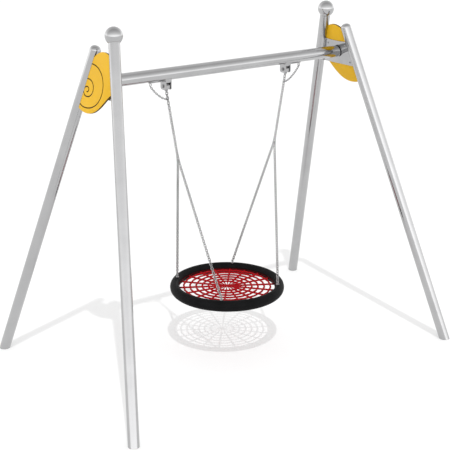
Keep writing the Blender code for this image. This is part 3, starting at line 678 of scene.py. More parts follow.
def board():
    """The rounded plate with two more loops, where the skins end and the core begins."""
    outline = panel_outline()
    front, back = -PANEL_BACK - PANEL_THICKNESS, -PANEL_BACK
    made = plate(outline, front, back, PANEL_EDGE, EDGE_STEPS, (front + SKIN, back - SKIN))
    band = np.arange(len(made["quads"])) // len(outline)
    made["finish"] = (band == EDGE_STEPS + 1).astype(int)
    return made


def spiral():
    """A growing spiral: the log of the radius rises with the angle, ever more slowly.

    It also swells once in each turn, which shifts the coils, and twice, which makes them oval.
    """
    a = np.radians(np.linspace(SPIRAL_START, SPIRAL_END, SPIRAL_STEPS))
    growth = SPIRAL_GROWTH * a - SPIRAL_SLOWING * a**2
    shift = SPIRAL_SHIFT @ np.stack([np.cos(a), np.sin(a)])
    oval = SPIRAL_OVAL @ np.stack([np.cos(2 * a), np.sin(2 * a)])
    radius = SPIRAL_RADIUS * np.exp(growth + shift + oval)
    return SPIRAL_CENTRE + np.stack([-radius * np.cos(a), radius * np.sin(a)], -1)


def groove_cutter():
    """An oval section along the spiral, centred on the board's outer face."""
    route = spiral()
    front = -PANEL_BACK - PANEL_THICKNESS
    path = np.column_stack([route, np.full(len(route), front)])
    angle = round_angles(GROOVE_SIDES)
    reach = np.hypot(GROOVE_HALF_WIDTH * np.cos(angle), GROOVE_DEPTH * np.sin(angle))
    return tube(path, np.tile(reach, (len(path), 1)), GROOVE_SIDES, finish=1)


def cut_groove(panel, way):
    """Takes the groove out of the board with an exact Boolean, applied to the mesh."""
    swept = half_turned(in_plane(groove_cutter()), way)
    mesh = build_mesh("groove_cutter", [swept], panel.data.materials)
    cutter = bpy.data.objects.new("groove_cutter", mesh)
    bpy.context.scene.collection.objects.link(cutter)
    modifier = panel.modifiers.new("groove", "BOOLEAN")
    modifier.operation = "DIFFERENCE"
    modifier.solver = "EXACT"
    modifier.object = cutter
    seen = panel.evaluated_get(bpy.context.evaluated_depsgraph_get())
    mesh = bpy.data.meshes.new_from_object(seen)
    panel.modifiers.clear()
    panel.data = mesh
    bpy.data.objects.remove(cutter, do_unlink=True)
    shade(mesh, SHARP)


for half, way in HALVES.items():
    made = half_turned(in_plane(board()), way)
    finishes = [board_yellow, board_core]
    panel = piece(f"{half}_board", [made], finishes, [f"{half}_panel"], "frame")
    cut_groove(panel, way)
    print(half, "board faces", len(panel.data.polygons))

# %% [markdown]
# The beam is a 101.6 mm tube with a plate welded on each end. A black gasket lies between that
# plate and the gusset, and one bolt behind the panel draws them together. The tube's ends
# follow the leaning plane, so each line of it ends at its own length.

# %% Beam, end plates and gaskets
BEAM_RADIUS = 0.0508
BEAM_SIDES = 72
BEAM_ROWS = 24
GASKET_RADIUS = 0.0522
GASKET_THICKNESS = 0.006
GASKET_EDGE = 0.0015
GASKET_FACE = GUSSET_HALF + GAP
END_PLATE_RADIUS = 0.0518
END_PLATE_THICKNESS = 0.010
END_PLATE_EDGE = 0.0012
END_PLATE_FACE = GASKET_FACE + GASKET_THICKNESS + GAP
BEAM_FACE = END_PLATE_FACE + END_PLATE_THICKNESS + GAP


def beam_tube():
    """Lines along X: a line at height h ends at face_x - (h - face_z) . slope of the end plate."""
    angle = round_angles(BEAM_SIDES)
    y, z = BEAM_RADIUS * np.cos(angle), BEAM_HEIGHT + BEAM_RADIUS * np.sin(angle)
    face = BEAM_END + BEAM_FACE * INWARD
    reach = face[0] - (z - face[2]) * INWARD[2] / INWARD[0]
    share = np.linspace(1, -1, BEAM_ROWS)[:, None]
    walls = np.stack(np.broadcast_arrays(share * reach, y, z), -1)
    ends = np.array([[[reach.mean(), 0, BEAM_HEIGHT]], [[-reach.mean(), 0, BEAM_HEIGHT]]])
    ends = np.broadcast_to(ends, (2, BEAM_SIDES, 3))
    return surface(np.concatenate([ends[:1], walls, ends[1:]]))


def disc(radius, low, high, edge, sides, origin=(0, 0, 0), axis=(0, 0, 1), steps=3):
    """A disc with rounded edges between two heights on an axis."""
    depths, heights = rounded_edge(low, high, edge, steps)
    wall = np.stack([radius - depths, heights], -1)
    return turned(np.vstack([(0.0, low), wall, (0.0, high)]), sides, origin, axis)


def end_disc(radius, low, thickness, edge):
    """A disc square to the leaning plane's inward direction, on the beam's line."""
    return [disc(radius, low, low + thickness, edge, BEAM_SIDES, BEAM_END, INWARD)]


piece("beam_tube", [beam_tube()], [tube_steel], ["beam"], "frame")
end_plate = end_disc(END_PLATE_RADIUS, END_PLATE_FACE, END_PLATE_THICKNESS, END_PLATE_EDGE)
gasket = end_disc(GASKET_RADIUS, GASKET_FACE, GASKET_THICKNESS, GASKET_EDGE)
both_halves("beam_end_plate", "ground", end_plate, [tube_steel])
both_halves("beam_gasket", "ring", gasket, [rim_rubber])
print("beam and", 2 * len(HALVES), "end pieces")

# %% [markdown]
# Bolts: the four that hold the panel have low round heads with a socket, and the pivot bolts have
# six-sided heads with rounded edges. A low round head is a flattened arc turned about the bolt,
# and a six-sided head is a plate with a six-sided outline.

# %% Bolts
BOLT_HEAD_RADIUS = 0.008
BOLT_HEAD_HEIGHT = 0.005
BOLT_HEAD_SIDES = 24
SOCKET_SHARE = 0.45
DOME_STEEP = 65
BOLT_FROM_TOP = 0.038
BOLT_FROM_BOTTOM = 0.030
BOLT_FROM_LEG = 0.045


def button_head(radius, height):
    """A low round head: an arc scaled to the head's height, with a socket sunk to half of it."""
    dome = arc(1.0, 0, DOME_STEEP, 6) * (radius, height / np.sin(np.radians(DOME_STEEP)))
    socket, sunk = SOCKET_SHARE * radius, height / 2
    profile = np.vstack([(0, 0), dome, (socket, height), (socket, sunk), (0, sunk)])
    return turned(profile, BOLT_HEAD_SIDES)


def hex_head(radius, low, high, edge):
    """A six-sided plate with rounded edges, three points on each side."""
    corners = arc(radius, 0, 300, 6)
    share = np.arange(3)[:, None] / 3
    outline = (corners[:, None] + share * (np.roll(corners, -1, 0) - corners)[:, None]).reshape(-1, 2)
    return plate(outline, low, high, edge, 2)


head = button_head(BOLT_HEAD_RADIUS, BOLT_HEAD_HEIGHT)
for level, up in (("upper", GUSSET_HIGH - BOLT_FROM_TOP), ("lower", GUSSET_LOW + BOLT_FROM_BOTTOM)):
    out = leg_side(up, LEG_RADIUS) - BOLT_FROM_LEG
    for leg, across in (("ball", -out), ("dome", out)):
        centre = PLANE_ORIGIN + across * ACROSS + up * UP + PANEL_BACK * INWARD
        bolt = [placed(head, centre, ACROSS, UP, INWARD)]
        both_halves(f"panel_bolt_{level}_{leg}_side", "head", bolt, [bolt_steel])
for half in HALVES:
    frame["nodes"][f"{half}_beam_bolt"].data.materials[0] = bolt_steel
print("panel bolts", 4 * len(HALVES))

# %% [markdown]
# A hanger is two cheek plates and a web, coped to the beam and welded to it. The cheeks have
# round lower corners, and the pivot bolt goes through both. In side view the outline is an arc
# of the beam on top, two straight sides and two quarter circles.

# %% Hangers
CHEEK_HALF = 0.0385
CHEEK_LOW = -0.031
CHEEK_CORNER = 0.020
CHEEK_THICKNESS = 0.008
CHEEK_EDGE = 0.0012
HANGER_HALF = 0.029
WEB = 0.007
WEB_INTO_CHEEK = 0.001
WEB_EDGE = 0.0004
COPE_STEPS = 17
COPE_WELD = 0.0035
COPE_WELD_OUT = 0.001
COPE_WELD_STEPS = 60
COPE_SWELL = 0.1
WASHER_RADIUS = 0.0165
WASHER = 0.0015
WASHER_EDGE = 0.0005
WASHER_SIDES = 32
HEX_RADIUS = 0.014
HEX_EDGE = 0.0012
HEX_HEAD_HEIGHT = 0.009
NUT_HEIGHT = 0.011
THREAD_RADIUS = 0.008
THREAD_TIP = 0.0163
PIVOT_UP = BEAM_HEIGHT - PIVOT[2]
X_AXIS, Y_AXIS, Z_AXIS = np.eye(3)


def at_pivot(made):
    """A surface made with local X = +Y, local Y = +Z and local Z = +X, moved to the pivot."""
    return placed(made, PIVOT, Y_AXIS, Z_AXIS, X_AXIS)


def cope(radius, out, count):
    """The arc of the beam above a cheek: as wide as the cheek where it has the radius given."""
    edge = np.degrees(np.arccos(CHEEK_HALF / radius))
    return arc(radius + out, -edge, -180 + edge, count, (0.0, PIVOT_UP))


def cheek_outline():
    """Two quarter circles below, and the arc of the beam above."""
    side = CHEEK_HALF - CHEEK_CORNER
    left = arc(CHEEK_CORNER, 180, 270, 9, (-side, CHEEK_LOW + CHEEK_CORNER))
    right = arc(CHEEK_CORNER, 270, 360, 9, (side, CHEEK_LOW + CHEEK_CORNER))
    return np.vstack([left, right, cope(BEAM_RADIUS + GAP, 0.0, COPE_STEPS)])


def cheek_weld(face):
    """A bead along the arc where a cheek meets the beam."""
    path = cope(BEAM_RADIUS, COPE_WELD_OUT, COPE_WELD_STEPS)
    path = np.column_stack([path, np.full(len(path), face)])
    ripple = TURN * np.arange(COPE_WELD_STEPS) / RIPPLE_STEPS
    return tube(path, COPE_WELD * (1 + COPE_SWELL * np.cos(ripple)), WELD_SIDES, finish=1)


def hanger():
    """Two cheeks, the web between them and a weld along each cheek."""
    inside = HANGER_HALF - CHEEK_THICKNESS
    surfaces = []
    for low in (-HANGER_HALF, inside):
        surfaces.append(plate(cheek_outline(), low, low + CHEEK_THICKNESS, CHEEK_EDGE))
    web_low = PIVOT_UP - BEAM_RADIUS - WEB
    web_top = cope(BEAM_RADIUS + GAP, 0.0, COPE_STEPS)
    web = np.vstack([(-CHEEK_HALF, web_low), (CHEEK_HALF, web_low), web_top])
    reach = inside + WEB_INTO_CHEEK
    surfaces.append(plate(web, -reach, reach, WEB_EDGE, 1))
    surfaces += [cheek_weld(-HANGER_HALF), cheek_weld(HANGER_HALF)]
    return [at_pivot(s) for s in surfaces]


def beside_cheek(surfaces, way):
    """Surfaces made about local Z, moved to the outer face of a cheek."""
    return [placed(s, PIVOT + way * HANGER_HALF * X_AXIS, Y_AXIS, Z_AXIS, X_AXIS) for s in surfaces]


pivot_head = [
    disc(WASHER_RADIUS, -WASHER, 0.0, WASHER_EDGE, WASHER_SIDES),
    hex_head(HEX_RADIUS, -WASHER - HEX_HEAD_HEIGHT, -WASHER, HEX_EDGE),
]
pivot_nut = [
    disc(WASHER_RADIUS, 0.0, WASHER, WASHER_EDGE, WASHER_SIDES),
    hex_head(HEX_RADIUS, WASHER, WASHER + NUT_HEIGHT, HEX_EDGE),
    disc(THREAD_RADIUS, 0.0, THREAD_TIP, HEX_EDGE, BOLT_HEAD_SIDES),
]
both_halves("hanger", "welded", hanger(), [plate_steel, weld_steel])
both_halves("pivot_bolt", "turned", beside_cheek(pivot_head, -1), [bolt_steel])
both_halves("pivot_nut", "turned", beside_cheek(pivot_nut, 1), [bolt_steel])
for half in HALVES:
    frame["nodes"][f"{half}_pivot_bush"].data.materials[0] = bush_nylon
print("hangers", len(HALVES))

# %% [markdown]
# The swing block turns on the pivot's bush. It is a thick block, round over the bolt, with a
# fork below it, and a pin through the fork carries the first chain link. Seen along the pivot,
# its radius at each angle is the larger of a round boss and a box, so one grid makes it, bore
# and all.

# %% Swing blocks
BOSS_RADIUS = 0.0205
BLOCK_HALF = 0.017
BLOCK_DEPTH = 0.030
BLOCK_HIGH = 0.006
BLOCK_LOW = 0.026
BLOCK_BORE = 0.0123
BLOCK_EDGE = 0.0015
BLOCK_STEPS = 72
TINE_OUT = 0.0085
TINE_THICKNESS = 0.0025
TINE_HALF = 0.013
TINE_LOW = 0.045
TINE_INTO_BLOCK = 0.001
TINE_EDGE = 0.0006
PIN_BELOW = 0.036
PIN_RADIUS = 0.0035
PIN_EDGE = 0.0003
PIN_SIDES = 16
PIN_HEAD = 0.0055
PIN_HEAD_HEIGHT = 0.0025
PIN_HEAD_EDGE = 0.0008
PIN_HEAD_SIDES = 20
TINY = 1e-9


def block_body():
    """Radius = the larger of the boss and the distance to the box's side, on six levels."""
    corners = [(BLOCK_DEPTH, BLOCK_HIGH), (-BLOCK_DEPTH, BLOCK_HIGH)]
    corners += [(-BLOCK_DEPTH, -BLOCK_LOW), (BLOCK_DEPTH, -BLOCK_LOW)]
    exact = [np.arctan2(z, y) % TURN for y, z in corners]
    angle = np.sort(np.concatenate([round_angles(BLOCK_STEPS), exact]))
    y, z = np.cos(angle), np.sin(angle)
    to_end = BLOCK_DEPTH / np.maximum(np.abs(y), TINY)
    to_face = np.where(z > 0, BLOCK_HIGH, BLOCK_LOW) / np.maximum(np.abs(z), TINY)
    outer = np.maximum(BOSS_RADIUS, np.minimum(to_end, to_face))
    bore = np.full_like(outer, BLOCK_BORE)
    radius = np.stack([bore, outer - BLOCK_EDGE, outer, outer, outer - BLOCK_EDGE, bore])
    inner = BLOCK_HALF - BLOCK_EDGE
    level = np.array([-BLOCK_HALF, -BLOCK_HALF, -inner, inner, BLOCK_HALF, BLOCK_HALF])[:, None]
    points = np.stack(np.broadcast_arrays(radius * y, radius * z, level), -1)
    return surface(points, close_rows=True)


def swing_block():
    """The block, two tines and the pin with a head at each end."""
    surfaces = [block_body()]
    below = arc(TINE_HALF, 180, 360, 15, (0.0, TINE_HALF - TINE_LOW))
    tine_top = TINE_INTO_BLOCK - BLOCK_LOW
    tine = np.vstack([below, (TINE_HALF, tine_top), (-TINE_HALF, tine_top)])
    for low in (-TINE_OUT, TINE_OUT - TINE_THICKNESS):
        surfaces.append(plate(tine, low, low + TINE_THICKNESS, TINE_EDGE, 2))
    centre = (0, -PIN_BELOW, 0)
    surfaces.append(disc(PIN_RADIUS, -TINE_OUT, TINE_OUT, PIN_EDGE, PIN_SIDES, centre))
    for low in (-TINE_OUT - PIN_HEAD_HEIGHT, TINE_OUT):
        high = low + PIN_HEAD_HEIGHT
        surfaces.append(disc(PIN_HEAD, low, high, PIN_HEAD_EDGE, PIN_HEAD_SIDES, centre))
    return [at_pivot(s) for s in surfaces]


both_halves("swing_block", "fork", swing_block(), [plate_steel], "chain")
print("swing blocks", len(HALVES))

# %% [markdown]
# The chain is short-link chain of 7.4 mm wire. Each link is a stadium: two half circles joined by
# straights, with a round section carried along it. Every second link is turned a quarter round,
# and the spacing is the inside length of a link, so each wire rests in the bend of the next. The
# spacing is trimmed so that a whole number of links fills each stretch.

# %% Chain links
LINK_WIRE = 0.0074
LINK_WIDTH = 0.0280
LINK_SPACING = 0.0205
LINK_STEPS = 10
LINK_SIDES = 5


def link(spacing, width, wire):
    """One link in local X (across) and Y (along): a stadium path with a round section."""
    bend = (width - wire) / 2
    straight = (spacing + wire) / 2 - bend
    half = LINK_STEPS // 2
    upper = arc(bend, 0, 180, half, (0.0, straight))
    lower = arc(bend, 180, 360, half, (0.0, -straight))
    path = np.vstack([upper, lower])
    path = np.column_stack([path, np.zeros(len(path))])
    return tube(path, wire / 2, LINK_SIDES, closed=True)


def links_at(centres, along, side, spacing, width=LINK_WIDTH, wire=LINK_WIRE):
    """Copies of one link: centre + across . x + along . y + facing . z, in one array.

    The across direction alternates between the side and the direction square to it.
    """
    one = link(spacing, width, wire)
    count = len(centres)
    along = np.broadcast_to(unit(along), (count, 3))
    side = np.broadcast_to(unit(side), (count, 3))
    other = np.cross(along, side)
    even = (np.arange(count) % 2 == 0)[:, None]
    across = np.where(even, side, other)
    facing = np.cross(across, along)
    axes = np.stack([across, along, facing], 1)
    points = one["points"] @ axes + np.asarray(centres)[:, None]
    shift = (np.arange(count) * len(one["points"]))[:, None, None]
    quads = (one["quads"] + shift).reshape(-1, 4)
    uv = np.tile(one["uv"], (count, 1, 1))
    return {**one, "points": points.reshape(-1, 3), "quads": quads, "uv": uv}


def straight_chain(start, end, odd, side):
    """Links from the first centre to the last: the count is odd or even, the spacing follows."""
    length = np.linalg.norm(end - start)
    steps = int(round(length / LINK_SPACING))
    steps += (steps + 1) % 2 != odd
    share = np.linspace(0, 1, steps + 1)[:, None]
    centres = start + share * (end - start)
    return links_at(centres, end - start, side, length / steps)


def ring_wire(centre, radius, wire, normal, steps=24, sides=8):
    """A closed ring of wire about a normal."""
    x, y, _ = axes_about(normal)
    a = round_angles(steps)[:, None]
    return tube(centre + radius * (np.cos(a) * x + np.sin(a) * y), wire, sides, normal, closed=True)


SPLIT_RADIUS = 0.016
SPLIT_WIRE = 0.0045
chain_line = unit(SPLIT - PIVOT)
half_link = LINK_SPACING / 2
pin_at = PIVOT - PIN_BELOW * Z_AXIS
first_at = pin_at + (half_link - PIN_RADIUS) * chain_line
last_at = SPLIT - (SPLIT_RADIUS - SPLIT_WIRE + half_link) * chain_line
upper_links = straight_chain(first_at, last_at, False, Y_AXIS)
split_ring = ring_wire(SPLIT, SPLIT_RADIUS, SPLIT_WIRE, X_AXIS, 28)
for node, made in (("upper_chain", upper_links), ("split_ring", split_ring)):
    both_halves(node, "links", [made], [link_steel], "chain", LINK_SHARP)
print("upper chain links", len(upper_links["quads"]) // (LINK_STEPS * LINK_SIDES))

# %% [markdown]
# From each split ring two chains spread to the rim, where an eye bolt stands on the rubber. Its
# collar is a rounded disc, its eye a ring of wire, and a short neck joins them.

# %% Lower chains and anchors
RIM_LEVEL = 0.545
RIM_HALF_HEIGHT = 0.049
RIM_TOP = RIM_LEVEL + RIM_HALF_HEIGHT
ANCHOR_RADIUS = 0.448
ANCHOR_ANGLE = np.radians(47.3)
EYE_RADIUS = 0.010
EYE_WIRE = 0.0035
COLLAR_RADIUS = 0.014
COLLAR_EDGE = 0.0015
COLLAR_SIDES = 28
COLLAR_LOW = RIM_TOP - 0.002
COLLAR_HIGH = RIM_TOP + 0.0053
# Radius of the neck, and height above the collar's top
NECK = np.array([(0.0, -0.0093), (0.007, -0.001), (0.0045, 0.005), (0.0, 0.006)])
NECK_SIDES = 16
EYE_LEVEL = COLLAR_HIGH + EYE_RADIUS + EYE_WIRE / 2


def anchor(place):
    """A collar, a neck and an eye, on the rim at a place."""
    collar = disc(COLLAR_RADIUS, COLLAR_LOW, COLLAR_HIGH, COLLAR_EDGE, COLLAR_SIDES, place)
    neck = turned(NECK + (0.0, COLLAR_HIGH), NECK_SIDES, place)
    eye = ring_wire(place + EYE_LEVEL * Z_AXIS, EYE_RADIUS, EYE_WIRE, X_AXIS)
    return [collar, neck, eye]


for end, way_y in (("front", -1), ("rear", 1)):
    place = ANCHOR_RADIUS * np.array([-np.cos(ANCHOR_ANGLE), way_y * np.sin(ANCHOR_ANGLE), 0.0])
    eye_at = place + EYE_LEVEL * Z_AXIS
    line = unit(eye_at - SPLIT)
    start = SPLIT + (SPLIT_RADIUS - SPLIT_WIRE + half_link) * line
    stop = eye_at - (EYE_RADIUS - EYE_WIRE + half_link) * line
    lower_links = straight_chain(start, stop, True, X_AXIS)
    node = f"{end}_chain"
    both_halves(node, "links", [lower_links], [link_steel], "seat", LINK_SHARP)
    both_halves(f"{end}_anchor", "eye", anchor(place), [bolt_steel], "seat")
print("lower chain links", len(lower_links["quads"]) // (LINK_STEPS * LINK_SIDES))

# %% [markdown]
# Should a hanger fail, a slack safety chain holds the seat. It runs from an eye under a flat bar
# beside the hanger to the swing chain below the fork. The links follow a hanging curve, spaced
# evenly along its length, between the frame and the swinging chain. The chain rides on no body:
# its place is baked into its mesh.

# %% Safety bars, eyes and chains
EYE_OUT = 0.147
BAR_THICKNESS = 0.007
BAR_HALF = 0.012
BAR_END = 0.018
BAR_EDGE = 0.0012
SAFETY_EYE_RADIUS = 0.0095
SAFETY_EYE_WIRE = 0.0035
JOIN_BELOW = 0.108
SAG = 0.032
SAG_IN = SAG / 6
BEND_OUT = 1 / 8
BEND_IN = 1 / 3
SLACK_WIRE = 0.0058
SLACK_WIDTH = 0.0200
SLACK_SPACING = 0.0170

bar_high = BEAM_HEIGHT - BEAM_RADIUS - GAP
bar_low = bar_high - BAR_THICKNESS
eye_x = PIVOT[0] - EYE_OUT
eye_at = np.array([eye_x, 0.0, bar_low - GAP - SAFETY_EYE_RADIUS - SAFETY_EYE_WIRE])


def safety_bar():
    """A flat bar with one round end, from the hanger outwards."""
    near, far = PIVOT[0] - HANGER_HALF, eye_x - BAR_END
    end = arc(BAR_HALF, 90, 270, 13, (far + BAR_HALF, 0.0))
    outline = np.vstack([end, (near, -BAR_HALF), (near, BAR_HALF)])
    return [plate(outline, bar_low, bar_high, BAR_EDGE)]


def slack_route(start, end, spacing):
    """Places on a cubic curve that sags, evenly spaced by its length, and their trimmed spacing."""
    run = (end - start) * X_AXIS
    sagging = start + run * BEND_OUT - SAG * Z_AXIS
    rising = end - run * BEND_IN - SAG_IN * Z_AXIS
    dense = cubic(start, sagging, rising, end, 400)
    reach = np.concatenate([[0], np.cumsum(np.linalg.norm(np.diff(dense, axis=0), axis=1))])
    even = np.linspace(0, reach[-1], int(round(reach[-1] / spacing)) + 1)
    return np.stack([np.interp(even, reach, dense[:, k]) for k in range(3)], -1), even[1]


join = PIVOT + JOIN_BELOW / -chain_line[2] * chain_line
slack_start = eye_at - (SAFETY_EYE_RADIUS - SAFETY_EYE_WIRE + SLACK_SPACING / 2) * Z_AXIS
slack_end = join - (SLACK_WIDTH / 2) * X_AXIS
centres, trimmed = slack_route(slack_start, slack_end, SLACK_SPACING)
along = np.gradient(centres, axis=0)
slack_links = links_at(centres, along, Y_AXIS, trimmed, SLACK_WIDTH, SLACK_WIRE)
safety_eye = ring_wire(eye_at, SAFETY_EYE_RADIUS, SAFETY_EYE_WIRE, Y_AXIS)
both_halves("safety_bar", "flat", safety_bar(), [plate_steel])
both_halves("safety_eye", "ring", [safety_eye], [plate_steel])
finishes = [link_steel]
slack = both_halves("safety_chain", "links", [slack_links], finishes, None, LINK_SHARP)
for (half, way), made in zip(HALVES.items(), slack):
    flip = np.array([way, way, 1.0])
    start, end = tuple(slack_start * flip), tuple(slack_end * flip)
    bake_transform(made)
print("safety chain links", len(centres), "length", round(trimmed * (len(centres) - 1), 3))

# %% [markdown]
# The rim is a steel ring in a thick rubber cover. The cover's section is an oval with a slot on
# the inside, through which the net's ropes reach the ring. The profile runs round the outside
# from the lower lip to the upper lip and back through the slot.

# %% Rim
RIM_OUTER = 0.500
RIM_HALF_WIDTH = 0.040
RIM_MIDDLE = RIM_OUTER - RIM_HALF_WIDTH
RIM_SIDES = 192
RIM_SHARP = 50
SLOT_HALF = 0.0075
SLOT_DEPTH = 0.012
LIP = 0.003
LIP_IN = 0.0031


def rim_profile():
    """An oval open at the slot, with rounded lips and the slot's own walls."""
    open_at = np.degrees(np.arcsin((SLOT_HALF + LIP) / RIM_HALF_HEIGHT))
    oval = arc(1.0, -180 + open_at, 180 - open_at, 72) * (RIM_HALF_WIDTH, RIM_HALF_HEIGHT)
    oval = oval + (RIM_MIDDLE, 0.0)
    upper = arc(LIP, 150, 270, 6, (oval[-1, 0] + LIP_IN, SLOT_HALF + LIP))
    deep = [(RIM_MIDDLE - RIM_HALF_WIDTH + SLOT_DEPTH, SLOT_HALF)]
    lower = [(x, -y) for x, y in upper[::-1]]
    back = [(x, -y) for x, y in deep]
    return np.vstack([oval, upper, deep, back, lower])


profile = rim_profile() + (0.0, RIM_LEVEL)
cover = turned(profile, RIM_SIDES, closed=True)
piece("rim_cover_rubber", [cover], [rim_rubber], ["rim_cover"], "seat", RIM_SHARP)
frame["nodes"]["rim_core"].data.materials[0] = plate_steel
print("rim faces", len(cover["quads"]))

# %% [markdown]
# The net is braided rope: eighteen spokes from the hub to the rim and six rings tied to them.
# Each rope is a round section on its path, with a swell that winds around it like the strands
# of the lay. A short fat sleeve at each crossing is the knot, a flat knot in the middle hides
# the spokes' ends, and a rope runs all round in the mouth of the rim's slot. That rope and the
# spokes' outer ends are a darker red, which is painted shade for the slot.

# %% Net
SPOKES = 18
RINGS = 6
RING_STEP = 0.0546
ROPE_RADIUS = 0.0080
NET_REACH = 0.4300
ROPE_SIDES = 9
LAY = 0.024
STRANDS = 3
STRAND_SWELL = 0.06
SPOKE_STEPS = 90
RING_STEPS = 12
KNOT_HALF = 0.013
KNOT_RADIUS = 0.0096
KNOT_REACH = 0.0145
KNOT_STEPS = 7
KNOT_SIDES = 8
HUB_RADIUS = 0.019
HUB_HALF = 0.010
HUB_STEEP = 75
HUB_SIDES = 24
HUB_SHARE = 0.5
# How far beyond the outer ring the spokes' painted shade begins
PAINTED_SHADE_GAP = 0.012
EDGE_LOOP = 0.4225
EDGE_ROPE_RADIUS = 0.0062
EDGE_STEPS_ROUND = 240
WEDGE = TURN / SPOKES


def rope(path, length, closed, radius=ROPE_RADIUS):
    """A rope: radius times 1 + swell . cos(strands . angle - turns along the lay)."""
    turns = max(1, round(length / LAY))
    count = len(path)
    share = np.arange(count) / (count if closed else count - 1)
    angle = round_angles(ROPE_SIDES)
    swell = 1 + STRAND_SWELL * np.cos(STRANDS * angle[None] - TURN * turns * share[:, None])
    return tube(path, np.reshape(radius, (-1, 1)) * swell, ROPE_SIDES, closed=closed)


def on_spoke(number, reach):
    """Points on the line of a spoke, at distances from the middle."""
    angle = WEDGE * (number + 0.5)
    return reach[:, None] * np.array([np.cos(angle), np.sin(angle), 0.0]) + RIM_LEVEL * Z_AXIS


def spoke(number):
    """A straight rope from the hub to the slot, drawn thinner where the spokes crowd together.

    Beyond the outer ring it has the darker rope finish, which is painted shade near the rim.
    """
    reach = np.linspace(HUB_RADIUS / 2, NET_REACH, SPOKE_STEPS)
    room = np.clip(reach / (2 * RING_STEP), HUB_SHARE, 1.0)
    made = rope(on_spoke(number, reach), NET_REACH, False, ROPE_RADIUS * room)
    start = reach[np.arange(len(made["quads"])) * (len(reach) - 1) // len(made["quads"])]
    # The outer ends take the darker rope finish, which is painted shade
    made["finish"] = (start > RING_STEP * (RINGS + 1) + PAINTED_SHADE_GAP).astype(int)
    return made


def level_loop(radius, angle):
    """Points round the middle, in the plane of the net."""
    x, y = radius * np.cos(angle), radius * np.sin(angle)
    return np.stack([x, y, np.full(len(angle), RIM_LEVEL)], -1)


def ring(number):
    """A rope from spoke to spoke: straight between them, as a many-sided loop."""
    radius = RING_STEP * (number + 2)
    angle = round_angles(RING_STEPS * SPOKES)
    from_spoke = (angle - WEDGE / 2) % WEDGE - WEDGE / 2
    chord = radius * np.cos(WEDGE / 2) / np.cos(np.abs(from_spoke) - WEDGE / 2)
    return rope(level_loop(chord, angle), TURN * radius, True)


def knots():
    """A sleeve at each crossing: a short round bulge along the spoke."""
    along = np.linspace(-KNOT_HALF, KNOT_HALF, KNOT_STEPS)
    bulge = KNOT_RADIUS * np.sqrt(1 - (along / KNOT_REACH) ** 2)
    places = [(number, RING_STEP * (loop + 2)) for number in range(SPOKES) for loop in range(RINGS)]
    return [tube(on_spoke(number, radius + along), bulge, KNOT_SIDES) for number, radius in places]


def hub():
    """A flat round knot in the middle: a squashed arc turned about Z."""
    side = arc(1.0, -HUB_STEEP, HUB_STEEP, 11) * (HUB_RADIUS, HUB_HALF)
    dome = np.vstack([(0, -HUB_HALF), side, (0, HUB_HALF)])
    return turned(dome, HUB_SIDES, (0, 0, RIM_LEVEL))


def edge_rope():
    """A rope all round in the mouth of the slot, which the spokes are tied to, in a darker red that is painted
    shade.
    """
    angle = round_angles(EDGE_STEPS_ROUND)
    made = rope(level_loop(EDGE_LOOP, angle), TURN * EDGE_LOOP, True, EDGE_ROPE_RADIUS)
    made["finish"] = 1
    return made


net = [spoke(n) for n in range(SPOKES)] + [ring(n) for n in range(RINGS)] + knots()
net += [hub(), edge_rope()]
made = piece("rope_net", net, [rope_red, rope_painted_shade], ["net"], "seat", LINK_SHARP)
print("net faces", len(made.data.polygons))

# %% [markdown]
# The swing stands on a plain pale floor that fills the whole picture. The floor is a grid of two
# by two points. It takes shadows as any grey floor does, and a plain glow, seen only by the eye
# and in reflections, lifts it to white, so that no more light falls on the swing.

# %% Floor
FLOOR_HALF = 80.0
FLOOR_DROP = 0.001
FLOOR_GREY = 0.62
FLOOR_LIFT = 0.312


def floor_finish():
    """Grey that takes shadows, plus a glow on camera, glossy and transmission rays alone."""
    material, tree, shader = new_finish("floor_pale", (FLOOR_GREY, FLOOR_GREY, FLOOR_GREY), 0.9)
    feed(tree, shader, Specular_IOR_Level=0.0)
    rays = add_node(tree, "LightPath").outputs
    seen = larger(tree, rays["Is Camera Ray"], rays["Is Glossy Ray"])
    seen = larger(tree, seen, rays["Is Transmission Ray"])
    glow = add_node(tree, "Emission", Strength=ranged(tree, seen, 0.0, FLOOR_LIFT, 0.0, 1.0))
    both = add_node(tree, "AddShader")
    tree.links.new(shader.outputs["BSDF"], both.inputs[0])
    tree.links.new(glow.outputs["Emission"], both.inputs[1])
    feed(tree, tree.nodes["Material Output"], Surface=both.outputs["Shader"])
    return material


sides = np.array([-FLOOR_HALF, FLOOR_HALF])
floor_points = np.stack([*np.meshgrid(sides, sides), np.full((2, 2), -FLOOR_DROP)], -1)
floor_mesh = build_mesh("floor", [surface(floor_points, close_columns=False)], [floor_finish()])
floor = bpy.data.objects.new("floor", floor_mesh)
bpy.context.scene.collection.objects.link(floor)
print("floor", 2 * FLOOR_HALF, "m wide")

# %% [markdown]
# The light is plain. A world that is bright at the horizon and greyer overhead gives the steel
# something to reflect, and it is a little brighter or darker from side to side, which gives the
# tubes their soft bands. One weak sun draws the faint shadows on the floor.

# %% World and sun
# Brightness by height: 0 is the horizon and 1 is overhead
SKY = (
    (0.0, 1.60),
    (0.10, 1.52),
    (0.20, 1.38),
    (0.31, 1.16),
    (0.44, 0.99),
    (0.56, 0.90),
    (0.67, 0.82),
    (0.85, 0.72),
    (1.0, 0.65),
)
SKY_TOP = 2.0
# Share of that brightness by direction: 1 is along SKY_SIDE and 0 is opposite to it
SKY_SIDE = (-0.42, -0.91, 0.0)
SKY_TURN = ((0.0, 0.80), (0.15, 1.10), (0.33, 1.16), (0.43, 0.92), (0.6, 1.0), (1.0, 1.42))
SKY_TURN_TOP = 1.5
SUN_ENERGY = 1.10
SUN_ANGLE = 0.9
SUN_WAY = Vector((0.277, 0.509, -1.0))


def grey_levels(tree, value, table, top):
    """A ramp of greys, each level divided by the top one."""
    return ramp(tree, value, *[(place, (level / top,) * 3) for place, level in table])


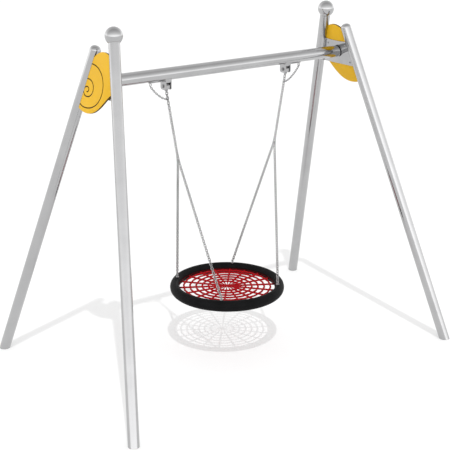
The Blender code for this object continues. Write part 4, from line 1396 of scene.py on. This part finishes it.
world = bpy.data.worlds.new("studio")
bpy.context.scene.world = world
world.use_nodes = True
tree = world.node_tree
source = add_node(tree, "TexCoord").outputs["Generated"]
height = ranged(tree, add_node(tree, "SeparateXYZ", Vector=source).outputs["Z"], 0.0, 1.0, 0.0, 1.0)
toward = add_node(tree, "VectorMath", Vector=source)
toward.operation = "DOT_PRODUCT"
toward.inputs[1].default_value = SKY_SIDE
facing = ranged(tree, toward.outputs["Value"], 0.0, 1.0, -1.0, 1.0)
shade_round = grey_levels(tree, facing, SKY_TURN, SKY_TURN_TOP)
strength = ranged(tree, shade_round, 0.0, SKY_TOP * SKY_TURN_TOP, 0.0, 1.0)
colour = grey_levels(tree, height, SKY, SKY_TOP)
feed(tree, tree.nodes["Background"], Color=colour, Strength=strength)

lamp = bpy.data.lights.new("soft_sun", "SUN")
lamp.energy = SUN_ENERGY
lamp.angle = np.radians(SUN_ANGLE)
lamp_holder = bpy.data.objects.new("soft_sun", lamp)
lamp_holder.visible_glossy = False
lamp_holder.rotation_euler = SUN_WAY.to_track_quat("-Z", "Y").to_euler()
bpy.context.scene.collection.objects.link(lamp_holder)
print("sun", SUN_ENERGY, "sky levels", len(SKY))

# %% [markdown]
# The camera stands about where the photograph was taken from: its place, its aim and its lens
# come from a fit to lines, heights and points seen there.

# %% Camera
CAMERA_AT = Vector((-5.5158, -7.4541, 4.2458))
CAMERA_YAW = 0.63491
CAMERA_PITCH = -0.32624
CAMERA_ROLL = 0.0032
LENS = 90.82
SENSOR = 36.0
CLIP_END = 400.0

camera = bpy.data.cameras.new("photo_view")
camera.lens = LENS
camera.sensor_width = SENSOR
camera.clip_end = CLIP_END
holder = bpy.data.objects.new("photo_view", camera)
bpy.context.scene.collection.objects.link(holder)
level = np.cos(CAMERA_PITCH)
ahead = Vector((level * np.sin(CAMERA_YAW), level * np.cos(CAMERA_YAW), np.sin(CAMERA_PITCH)))
aim = ahead.to_track_quat("-Z", "Y").to_matrix().to_4x4() @ Matrix.Rotation(CAMERA_ROLL, 4, "Z")
holder.matrix_world = Matrix.Translation(CAMERA_AT) @ aim
bpy.context.scene.camera = holder
bpy.context.scene.view_settings.view_transform = "Standard"
print("camera", CAMERA_AT, "lens", LENS)
